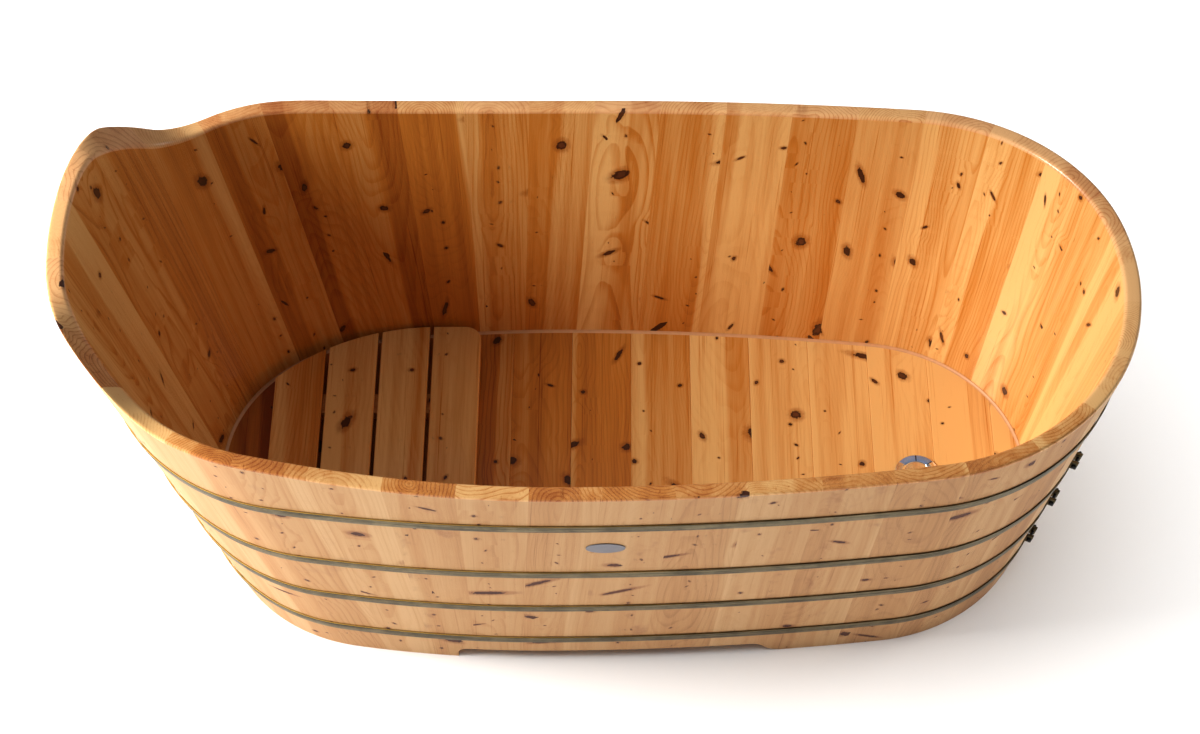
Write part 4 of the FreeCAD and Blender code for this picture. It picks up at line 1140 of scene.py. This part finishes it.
# Steps of a stave's faces, and how far under the rim its rounding is reached
FACE_ROWS = 10
RIM_STEPS = 5
UNDER_RIM = 1.2

# Sides of what is turned on a lathe, and the angle up to which its faces blend
RING_SIDES = 96
BOLT_SIDES = 32
TURNED_ANGLE = 50.0


def stave_rows(form, foot, outer_top, inner_top):
    """Outline of a stave at each of its bearings, up the outside, over the rim and down the
    inside. Each row holds insets, heights and whether it is end grain."""
    thick = form.thickness
    edge = quarter_round(form.rim_round, RIM_STEPS)
    below = form.rim_round * UNDER_RIM
    croze_high = form.croze_low + form.croze_height
    croze_inset = thick - form.croze_depth
    parts = np.linspace(0.0, 1.0, FACE_ROWS)
    rows = [(0.0, foot + (outer_top - below - foot) * part, 0.0) for part in parts]
    flat = np.linspace(form.rim_round, thick - form.rim_round, 4)[1:-1]
    rim = [*edge, *[(inset, 0.0) for inset in flat]]
    rim.extend((thick - way_in, drop) for way_in, drop in reversed(edge))
    for inset, drop in rim:
        rows.append((inset, outer_top + (inner_top - outer_top) * inset / thick - drop, 1.0))
    for part in reversed(parts):
        rows.append((thick, croze_high + (inner_top - below - croze_high) * part, 0.0))
    rows.extend([(croze_inset, croze_high, 0.0), (croze_inset, form.croze_low, 0.0),
                 (thick, form.croze_low, 0.0), (thick, foot, 0.0)])
    filled = [[np.broadcast_to(value, foot.shape) for value in row] for row in rows]
    return np.array(filled).swapaxes(0, 1)


def stave_mesh(wall, name, first, last, tone, own):
    """One stave as a closed mesh, with its board and mark stored at every point."""
    form = wall.form
    bearings = [*wall.columns(first, last), *arch_bearings(wall, first, last)]
    bearings = np.unique(np.round(bearings, 5))
    foot = np.array([wall.foot_level(bearing) for bearing in bearings])
    outer_top = wall.top_level(bearings, 0.0)
    inner_top = wall.top_level(bearings, form.thickness)
    insets, levels, ends = stave_rows(form, foot, outer_top, inner_top)
    points = wall.place(bearings[None, :], levels, insets)
    rows, number = levels.shape
    faces = grid_faces(rows, number, True, False)
    faces.append([row * number for row in range(rows)])
    faces.append([row * number + number - 1 for row in range(rows)])
    mesh = mesh_from(points.reshape(-1, 3), faces, name)

    length = wall.along(bearings)
    middle = (wall.along(first) + wall.along(last)) / 2.0
    rim_chord, base_chord = [
        np.linalg.norm(np.subtract(*wall.place([first, last], level, 0.0)))
        for level in (form.rim_height, 0.0)]
    taper = base_chord / rim_chord + (1 - base_chord / rim_chord) * levels / form.rim_height
    board = np.stack([(length - middle)[None, :] * taper, insets, levels], -1)
    mark = np.stack([np.full_like(levels, tone), np.full_like(levels, own), ends], -1)
    add_vectors(mesh, "board", board.reshape(-1, 3))
    add_vectors(mesh, "mark", mark.reshape(-1, 3))
    return mesh


def arch_bearings(wall, first, last):
    """Extra bearings that follow the ends of the arch, where a stave has one."""
    form = wall.form
    hair, search, steps = 1e-5, 40.0, 4000
    stations = [form.arch_head_station - hair]
    for part in np.linspace(0.0, 1.0, 8) ** 2:
        stations.append(form.arch_head_station + hair + form.arch_head_round * part)
    stations.extend(form.arch_foot_station - wall.toe_reach() * np.linspace(0.0, 1.0, 14))
    found = []
    for middle, way in ((QUARTER_TURN, -1.0), (QUARTER_TURN * 3.0, 1.0)):
        if first < middle + search and last > middle - search:
            bearings = middle + way * np.linspace(-search, search, steps + 1)
            reached = wall.place(bearings, form.arch_height / 2.0, 0.0)[:, 0] - wall.shift
            at = np.interp(stations, reached, bearings)
            found.extend(at[(at > first) & (at < last)])
    return found


class BATHTUB_OT_staves(bpy.types.Operator):
    """Make the staves of the wall, each over its own CAD node"""
    bl_idname = "bathtub.staves"
    bl_label = "Staves"

    def execute(self, context):
        wall = Wall(context.scene.bathtub_wall)
        wood = make_marked_wood("stave_wood", context.scene.bathtub_colours)
        for own, (name, first, last) in enumerate(wall.staves()):
            side, number = name.split("_")[1:]
            tone = STAVE_TONES[side][int(number) - 1]
            mesh = stave_mesh(wall, name, first, last, tone, own + 1.0)
            piece = new_object(name + "_wood", mesh, wood)
            finish_piece(piece, "tub", [name])
        return {"FINISHED"}


class BATHTUB_OT_hoops(bpy.types.Operator):
    """Make the hoops with their lugs, and the bolts and nuts"""
    bl_idname = "bathtub.hoops"
    bl_label = "Hoops and bolts"

    def execute(self, context):
        wall = Wall(context.scene.bathtub_wall)
        fittings, colours = context.scene.bathtub_fittings, context.scene.bathtub_colours
        metal = make_hoop_metal(colours)
        black = make_metal("black_bolt", colours.black, *BOLT_SHEEN)
        sweep = sweep_tree()
        bearings = [fittings.top_lug_bearing, fittings.second_lug_bearing,
                    fittings.lower_lug_bearing, fittings.lower_lug_bearing]
        seat = fittings.lug_opening / 2.0 + fittings.lug_thickness
        bolt_places, ways, nut_places = [], [], []
        for number, bearing in enumerate(bearings):
            place, way = self.make_hoop(wall, fittings, number + 1, bearing, sweep, metal)
            bolt_places.append(place - way * seat)
            nut_places.append(place + way * seat)
            ways.append(way)
        repeat = repeat_tree()
        bolts = scatter("clasp_bolts", self.bolt_mesh(fittings), bolt_places, ways, repeat, black)
        finish_piece(bolts, "tub", ["hoop_fasteners"])
        nuts = scatter("clasp_nuts", self.nut_mesh(fittings), nut_places, ways, repeat, black)
        finish_piece(nuts, "tub", [])
        return {"FINISHED"}

    def make_hoop(self, wall, fittings, number, turn, sweep, metal):
        """Band and lugs of one hoop. Returns the bolt's middle and its way."""
        low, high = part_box(f"hoop_{number}")
        middle = (low.z + high.z) / 2.0
        bearing = math.degrees(turn)
        out = fittings.hoop_fit + fittings.hoop_thickness / 2.0
        circle = wall.place([bearing - 1.0, bearing + 1.0], middle, 0.0)
        per_degree = np.linalg.norm(circle[1] - circle[0]) / 2.0
        gap = fittings.lug_opening / 2.0 / per_degree
        bearings = wall.columns(bearing + gap, bearing + FULL_TURN - gap)
        path_points = wall.place(bearings, middle, -out)
        path = bpy.data.meshes.new("hoop_path")
        path.from_pydata([tuple(point) for point in path_points],
                         [(spot, spot + 1) for spot in range(len(bearings) - 1)], [])
        rise = 1e-3
        upper = wall.place(bearings, middle + rise, -out)
        add_vectors(path, "way_out", (upper - path_points) * [1 / rise, 1 / rise, 0.0])
        heights = path.attributes.new("path_height", "FLOAT", "POINT")
        heights.data.foreach_set("value", np.full(len(bearings), middle, np.float32))
        profile = self.band_profile(fittings, high.z - low.z)
        values = {"Profile": profile, "Lean": 1.0, "Finish": metal}
        band = grown(f"band_{number}", path, sweep, values, metal)
        bpy.data.objects.remove(profile)
        outward = Vector((math.cos(turn), math.sin(turn), 0.0))
        way = Vector((-math.sin(turn), math.cos(turn), 0.0))
        for end, side in ((bearings[0], way), (bearings[-1], -way)):
            feet = [wall.place(end, level, -out) for level in (low.z, high.z)]
            self.add_lug(band.data, fittings, feet, outward, side)
        finish_piece(band, "tub", [f"hoop_{number}"])
        reach = fittings.hoop_fit + fittings.hoop_thickness + fittings.lug_reach / 2.0
        return Vector(wall.place(bearing, middle, -reach)), way

    def band_profile(self, fittings, height):
        """Rounded rectangle, thickness across and height up, as a closed curve."""
        curve = bpy.data.curves.new("band_profile", "CURVE")
        curve.dimensions = "2D"
        spline = curve.splines.new("POLY")
        edge = fittings.hoop_edge
        half_thick, half_high = fittings.hoop_thickness / 2.0 - edge, height / 2.0 - edge
        points = []
        for corner_x, corner_y, start in ((1, 1, 0), (-1, 1, 1), (-1, -1, 2), (1, -1, 3)):
            for turn in quarter_turns(3) + start * RIGHT_ANGLE:
                points.append((corner_x * half_thick + edge * math.cos(turn),
                               corner_y * half_high + edge * math.sin(turn)))
        spline.points.add(len(points) - 1)
        for spot, (x, y) in zip(spline.points, points):
            spot.co = (x, y, 0.0, 1.0)
        spline.use_cyclic_u = True
        return add_object("band_profile", curve)

    def add_lug(self, mesh, fittings, feet, outward, side):
        """Adds a bevelled lug to one end of a band, from the lower and upper edge of its foot."""
        depth = fittings.hoop_thickness / 2.0 + fittings.lug_reach
        with OpenMesh(mesh) as shell:
            corners = []
            for foot in feet:
                for out, along in ((0.0, 0.0), (depth, 0.0), (depth, 1.0), (0.0, 1.0)):
                    sideways = side * (fittings.lug_thickness * along)
                    corners.append(shell.verts.new(Vector(foot) + outward * out + sideways))
            faces = []
            for spots in ((0, 1, 2, 3), (4, 5, 6, 7), (0, 1, 5, 4), (1, 2, 6, 5), (2, 3, 7, 6),
                          (3, 0, 4, 7)):
                faces.append(shell.faces.new([corners[spot] for spot in spots]))
            bmesh.ops.recalc_face_normals(shell, faces=faces)
            edges = [edge for edge in shell.edges if edge.verts[0] in corners]
            round_edges(shell, edges, fittings.lug_edge, 3)

    def bolt_mesh(self, fittings):
        """Round-headed bolt with its head's underside at the origin."""
        head, height = fittings.bolt_head_radius, fittings.bolt_head_height
        radius = fittings.bolt_radius
        straight, dome, under = height * 0.45, height * 0.55, height * 0.1
        root, tip, run_out = radius * 0.86, radius * 0.8, radius * 0.3
        outline = [(head * math.sin(turn), -straight - dome * math.cos(turn))
                   for turn in quarter_turns(7)]
        outline.extend([(head, -under), (head * 0.92, 0.0), (radius, 0.0)])
        level = 2.0 * (fittings.lug_opening / 2.0 + fittings.lug_thickness) + fittings.nut_height
        tail = level + fittings.bolt_tail
        while level < tail - run_out:
            outline.extend([(radius, level), (root, level + fittings.thread_pitch / 2.0)])
            level += fittings.thread_pitch
        outline.extend([(tip, tail), (0.0, tail)])
        return lathe(outline, BOLT_SIDES, "clasp_bolt")

    def nut_mesh(self, fittings):
        """Hexagon nut with its seat at the origin."""
        mesh = bpy.data.meshes.new("clasp_nut")
        with OpenMesh(mesh) as shell:
            reach = fittings.nut_width / 2.0 / math.cos(math.pi / 6.0)
            bmesh.ops.create_cone(shell, cap_ends=True, segments=6, radius1=reach, radius2=reach,
                                  depth=fittings.nut_height)
            lift = (0.0, 0.0, fittings.nut_height / 2.0)
            bmesh.ops.translate(shell, verts=shell.verts, vec=lift)
            round_edges(shell, shell.edges[:], fittings.nut_edge, 2)
        return mesh


class BATHTUB_OT_floor(bpy.types.Operator):
    """Finish the floor boards, the battens and their screws, and make the bead of sealant"""
    bl_idname = "bathtub.floor"
    bl_label = "Floor"

    def execute(self, context):
        wall = Wall(context.scene.bathtub_wall)
        fittings, colours = context.scene.bathtub_fittings, context.scene.bathtub_colours
        width = fittings.board_width
        boards = make_board_wood("floor_wood", colours, ACROSS_TUB, width, wall.shift, *FLOOR_TONES)
        paint_node("floor_boards", boards)
        paint_node("floor_board_waste", boards)
        width = fittings.batten_spacing
        battens = make_board_wood("batten_wood", colours, ALONG_TUB, width, -width, *BATTEN_TONES)
        paint_node("floor_battens", battens)
        self.make_seal(wall, fittings, colours)
        steel = make_metal("screw_steel", colours.steel, *SCREW_SHEEN)
        paint_node("batten_screws", steel)
        return {"FINISHED"}

    def make_seal(self, wall, fittings, colours):
        """Bead of sealant with a hollow face, in the corner between floor and wall."""
        low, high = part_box("floor_seal")
        inset = wall.form.thickness + fittings.seal_fit
        width, lip = fittings.seal_width, fittings.seal_lip
        bearings = wall.columns(QUARTER_TURN, QUARTER_TURN + FULL_TURN)[:-1]
        top = high.z - (high.z - low.z) * fittings.seal_fall
        foot = inset + width * fittings.seal_reach
        rows = [(inset, low.z), (inset, top)]
        for turn in quarter_turns(6):
            rows.append((foot - width * fittings.seal_hollow * math.cos(turn),
                         top - (top - low.z) * (lip + (1 - 2 * lip) * math.sin(turn))))
        rows.append((foot, low.z))
        insets, levels = np.array(rows).T[:, :, None]
        points = wall.place(bearings[None, :], levels, insets)
        faces = grid_faces(len(rows), len(bearings), True, True)
        mesh = mesh_from(points.reshape(-1, 3), faces, "sealant_bead")
        paste = make_soft_plain("sealant", colours.sealant, SEALANT_ROUGHNESS)
        bead = new_object("sealant_bead", mesh, paste)
        finish_piece(bead, "tub", ["floor_seal"])


def paint_node(name, material):
    """Gives a carried-over CAD node its finish."""
    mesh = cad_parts[name].data
    mesh.materials.clear()
    mesh.materials.append(material)


class BATHTUB_OT_seat(bpy.types.Operator):
    """Make the slats of the seat board, and finish its bearers and screws"""
    bl_idname = "bathtub.seat"
    bl_label = "Seat board"

    def execute(self, context):
        fittings, colours = context.scene.bathtub_fittings, context.scene.bathtub_colours
        wood = make_marked_wood("seat_wood", colours)
        outline = self.outline(fittings)
        for number, tone in enumerate(SLAT_TONES):
            self.make_slat(number + 1, tone, outline, fittings, wood)
        width = fittings.bearer_spacing
        bearer = make_board_wood("bearer_wood", colours, ALONG_TUB, width, -width, *BEARER_TONES)
        paint_node("seat_bearers", bearer)
        steel = make_metal("seat_screw_steel", colours.steel, *SCREW_SHEEN)
        paint_node("seat_screws", steel)
        return {"FINISHED"}

    def outline(self, fittings):
        """Half width of the seat board at its stations, as (station, half width) points."""
        low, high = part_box("seat_slat_1")
        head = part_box("seat_slat_4")[0].x
        half_width = (high.y - low.y) / 2.0
        curve, run = fittings.seat_curve_radius, fittings.seat_curve_run
        points = [(high.x - inset, half_width - drop)
                  for inset, drop in quarter_round(fittings.slat_corner, 9)]
        for turn in np.linspace(0.0, math.asin(run / curve), 28):
            points.append((head + run - curve * math.sin(turn),
                           half_width - curve * (1 - math.cos(turn))))
        return points

    def make_slat(self, number, tone, outline, fittings, wood):
        """One slat: its share of the board's outline, with rounded upper edges."""
        low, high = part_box(f"seat_slat_{number}")
        stations, widths = np.array(outline)[::-1].T
        inside = [(x, y) for x, y in outline if low.x < x < high.x]
        ends = [(x, float(np.interp(x, stations, widths))) for x in (high.x, low.x)]
        back = [ends[0], *inside, ends[1]]
        corners = [*back, *[(x, -y) for x, y in reversed(back)]]
        mesh = bpy.data.meshes.new(f"slat_{number}")
        with OpenMesh(mesh) as shell:
            lower = [shell.verts.new((x, y, low.z)) for x, y in corners]
            upper = [shell.verts.new((x, y, high.z)) for x, y in corners]
            shell.faces.new(lower)
            shell.faces.new(upper)
            for spot in range(len(corners)):
                after = (spot + 1) % len(corners)
                shell.faces.new([lower[spot], lower[after], upper[after], upper[spot]])
            bmesh.ops.remove_doubles(shell, verts=shell.verts, dist=MERGE_DISTANCE)
            bmesh.ops.recalc_face_normals(shell, faces=shell.faces)
            rims = [edge for edge in shell.edges
                    if all(vertex.co.z > (low.z + high.z) / 2.0 for vertex in edge.verts)]
            round_edges(shell, rims, fittings.slat_edge, 4, clamp_overlap=True)
        middle = (low.x + high.x) / 2.0
        board, mark = [], []
        for vertex in mesh.vertices:
            depth = SLAT_DEPTH - (high.z - vertex.co.z) * 0.5
            board.append((vertex.co.x - middle, depth, vertex.co.y))
            mark.append((tone, FIRST_SLAT_NUMBER + number, 0.0))
        add_vectors(mesh, "board", board)
        add_vectors(mesh, "mark", mark)
        slat = new_object(f"slat_{number}", mesh, wood)
        finish_piece(slat, "seat", [f"seat_slat_{number}"])


class BATHTUB_OT_waste(bpy.types.Operator):
    """Make the waste's ring and stopper, and finish its hidden pieces"""
    bl_idname = "bathtub.waste"
    bl_label = "Waste"

    def execute(self, context):
        waste, colours = context.scene.bathtub_waste, context.scene.bathtub_colours
        low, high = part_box("drain_flange")
        chrome = make_chrome(colours, (low + high) / 2.0)
        rubber = make_soft_plain("washer_rubber", colours.rubber, RUBBER_ROUGHNESS)
        paint_node("drain_washers", rubber)
        plastic = make_soft_plain("pipe_plastic", colours.plastic, PLASTIC_ROUGHNESS)
        paint_node("drain_locknut", plastic)
        paint_node("drain_tailpiece", plastic)
        self.make_ring(waste, chrome)
        self.make_stopper(waste, chrome)
        return {"FINISHED"}

    def make_ring(self, waste, chrome):
        """Body of the waste with its ring, and the spider that guides the stem."""
        low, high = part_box("drain_flange")
        middle = (low + high) / 2.0
        ring = (high.x - low.x) / 2.0
        under = high.z - waste.ring_height
        edge = under + waste.ring_edge
        outline = [(waste.bore, low.z), (waste.body_radius, low.z), (waste.body_radius, under),
                   (ring - waste.ring_edge, under), (ring, edge)]
        lip = waste.mouth_radius + waste.lip_width
        for turn in quarter_turns(8):
            outline.append((lip + (ring - lip) * math.cos(turn) ** 0.8,
                            edge + (high.z - edge) * math.sin(turn)))
        for turn in quarter_turns(4)[-2::-1]:
            outline.append((waste.mouth_radius + waste.lip_width * waste.lip_round * math.sin(turn),
                            high.z - waste.lip_drop * (1 - math.sin(turn))))
        outline.append((waste.bore, high.z - waste.mouth_depth))
        mesh = lathe(outline, RING_SIDES, "waste_ring")
        with OpenMesh(mesh) as shell:
            for turn in (0.0, FULL_TURN / 3.0, FULL_TURN * 2.0 / 3.0):
                self.add_arm(shell, waste, math.radians(turn))
        mesh.transform(Matrix.Translation((middle.x, middle.y, 0.0)))
        ring_piece = new_object("waste_ring", mesh, chrome)
        finish_piece(ring_piece, "tub", ["drain_flange"], TURNED_ANGLE)

    def add_arm(self, shell, waste, turn):
        """One arm of the spider, a block from near the stem to the body."""
        start, end = waste.arm_start, waste.bore + waste.arm_overlap
        level = waste.arm_level + waste.arm_height / 2.0
        made = bmesh.ops.create_cube(shell, size=1.0)
        stretch = Matrix.Diagonal((end - start, waste.arm_width, waste.arm_height, 1.0))
        place = Matrix.Translation(((start + end) / 2.0, 0.0, level))
        turned = Matrix.Rotation(turn, 4, "Z") @ place @ stretch
        bmesh.ops.transform(shell, matrix=turned, verts=made["verts"])

    def make_stopper(self, waste, chrome):
        """Stopper: a shallow dome with a rolled edge, on its stem."""
        low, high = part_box("drain_stopper")
        middle = (low + high) / 2.0
        radius = (high.x - low.x) / 2.0
        stem, roll, inset = waste.stem_radius, waste.stopper_edge, waste.stopper_edge_inset
        under = high.z - waste.stopper_height
        roll_level = high.z - waste.dome_rise - roll
        outline = [(0.0, low.z), (stem - waste.stem_edge, low.z), (stem, low.z + waste.stem_edge),
                   (stem, under), (radius - waste.stopper_taper, under),
                   (radius - inset, roll_level - inset)]
        for turn in quarter_turns(6):
            outline.append((radius - inset - roll + roll * math.cos(turn),
                            roll_level + roll * math.sin(turn)))
        for part in np.linspace(1.0, 0.0, 8):
            outline.append((radius * waste.dome_share * part, high.z - waste.dome_rise * part ** 2))
        mesh = lathe(outline, RING_SIDES, "waste_stopper")
        mesh.transform(Matrix.Translation((middle.x, middle.y, 0.0)))
        stopper = new_object("waste_stopper", mesh, chrome)
        finish_piece(stopper, "stopper", ["drain_stopper"], TURNED_ANGLE)


class BATHTUB_OT_badge(bpy.types.Operator):
    """Make the plain oval plate on the front"""
    bl_idname = "bathtub.badge"
    bl_label = "Badge"

    def execute(self, context):
        fittings, colours = context.scene.bathtub_fittings, context.scene.bathtub_colours
        metal = make_metal("badge_steel", colours.badge, *PLATE_SHEEN)
        flat_angle, sharp_angle = math.radians(1.0), math.radians(60.0)
        mesh = bpy.data.meshes.new("oval_plate")
        with OpenMesh(mesh) as shell:
            shell.from_mesh(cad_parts["badge_plate"].data)
            bmesh.ops.remove_doubles(shell, verts=shell.verts, dist=MERGE_DISTANCE)
            bmesh.ops.dissolve_limit(
                shell, angle_limit=flat_angle, verts=shell.verts, edges=shell.edges)
            front = [edge for edge in shell.edges
                     if edge.calc_face_angle(0.0) > sharp_angle
                     and sum(vertex.normal.y for vertex in edge.verts) < 0]
            round_edges(shell, front, fittings.plate_edge, 3)
        plate = new_object("oval_plate", mesh, metal)
        finish_piece(plate, "tub", ["badge_plate"])
        return {"FINISHED"}


class BATHTUB_OT_stage(bpy.types.Operator):
    """Make the floor, the lights and the camera"""
    bl_idname = "bathtub.stage"
    bl_label = "Stage"

    def execute(self, context):
        settings = context.scene.bathtub_stage
        colours = context.scene.bathtub_colours
        self.make_camera(settings)
        ground = self.make_ground(settings.ground_reach, colours)
        world = bpy.data.worlds.new("studio")
        world.use_nodes = True
        nodes = Nodes(world.node_tree)
        sky = nodes.make("ShaderNodeBackground", {}, {
            "Color": (1.0, 1.0, 1.0), "Strength": settings.sky})[0]
        nodes.make("ShaderNodeOutputWorld", {}, {"Surface": sky})
        context.scene.world = world
        self.make_light(
            "key", settings.key_place, settings.key_target, settings.key_width,
            settings.key_power, settings.key_tint)
        self.make_light(
            "fill", settings.fill_place, settings.fill_target, settings.fill_width,
            settings.fill_power, settings.fill_tint)
        self.light_ground(settings, ground)
        context.scene.view_settings.view_transform = "Standard"
        context.scene.view_settings.gamma = settings.depth
        return {"FINISHED"}

    def make_camera(self, settings):
        """Camera at the picture's viewing angle."""
        data = bpy.data.cameras.new("camera")
        data.sensor_width = 36.0
        data.lens = data.sensor_width * settings.focal_share
        camera = add_object("camera", data)
        pitch, yaw, roll = settings.camera_pitch, settings.camera_yaw, settings.camera_roll
        ahead = Vector((math.sin(yaw) * math.cos(pitch), math.cos(yaw) * math.cos(pitch),
                        -math.sin(pitch)))
        right = Vector((math.cos(yaw), -math.sin(yaw), 0.0))
        upward = right.cross(ahead)
        rolled_right = right * math.cos(roll) + upward * math.sin(roll)
        rolled_up = upward * math.cos(roll) - right * math.sin(roll)
        turn = Matrix((rolled_right, rolled_up, -ahead)).transposed()
        camera.matrix_world = Matrix.Translation(settings.camera_place) @ turn.to_4x4()
        bpy.context.scene.camera = camera

    def make_ground(self, reach, colours):
        """Plain pale floor."""
        mesh = bpy.data.meshes.new("ground")
        mesh.from_pydata([(-reach, -reach, 0.0), (reach, -reach, 0.0), (reach, reach, 0.0),
                          (-reach, reach, 0.0)], [], [(0, 1, 2, 3)])
        nodes = Finish("ground")
        paint = nodes.close({"Base Color": (*colours.ground,), "Roughness": 0.9})
        ground = new_object("ground", mesh, paint)
        return ground

    def light_ground(self, settings, ground):
        """Even light on the ground alone, which keeps it pale round the tub."""
        lit = bpy.data.collections.new("lit_ground")
        lit.objects.link(ground)
        data = bpy.data.lights.new("ground_light", "SUN")
        data.energy = settings.ground_power
        data.angle = settings.ground_spread
        light = add_object("ground_light", data)
        light.location = (0.0, 0.0, settings.ground_light_height)
        light.light_linking.receiver_collection = lit

    def make_light(self, name, place, target, width, power, tint):
        """Soft square light that looks at a target."""
        data = bpy.data.lights.new(name, "AREA")
        data.size = width
        data.energy = power
        data.color = tint
        light = add_object(name, data)
        light.location = place
        light.rotation_euler = (target - place).to_track_quat("-Z", "Y").to_euler()


class BATHTUB_PT_panel(bpy.types.Panel):
    """Lists the pieces of the bathtub and their sizes"""
    bl_label = "Bathtub"
    bl_idname = "BATHTUB_PT_panel"
    bl_space_type = "VIEW_3D"
    bl_region_type = "UI"
    bl_category = "Bathtub"

    def draw(self, context):
        layout = self.layout
        for operator in OPERATORS:
            layout.operator(operator.bl_idname)
        for name in GROUPS:
            group = getattr(context.scene, name)
            box = layout.box()
            for field in group.__annotations__:
                box.prop(group, field)


OPERATORS = (
    BATHTUB_OT_staves, BATHTUB_OT_hoops, BATHTUB_OT_floor, BATHTUB_OT_seat, BATHTUB_OT_waste,
    BATHTUB_OT_badge, BATHTUB_OT_stage)
GROUPS = {
    "bathtub_wall": BathtubWallSizes, "bathtub_fittings": BathtubFittingSizes,
    "bathtub_waste": BathtubWasteSizes, "bathtub_grain": BathtubGrain,
    "bathtub_colours": BathtubColours, "bathtub_stage": BathtubStageSettings}


def register():
    for name, group in GROUPS.items():
        bpy.utils.register_class(group)
        setattr(bpy.types.Scene, name, bpy.props.PointerProperty(type=group))
    for shown in (*OPERATORS, BATHTUB_PT_panel):
        bpy.utils.register_class(shown)


def unregister():
    for shown in (BATHTUB_PT_panel, *reversed(OPERATORS)):
        bpy.utils.unregister_class(shown)
    for name, group in reversed(GROUPS.items()):
        delattr(bpy.types.Scene, name)
        bpy.utils.unregister_class(group)


def main():
    """Makes every piece in order."""
    register()
    bpy.ops.bathtub.staves()
    bpy.ops.bathtub.hoops()
    bpy.ops.bathtub.floor()
    bpy.ops.bathtub.seat()
    bpy.ops.bathtub.waste()
    bpy.ops.bathtub.badge()
    bpy.ops.bathtub.stage()


if __name__ == "__main__":
    main()
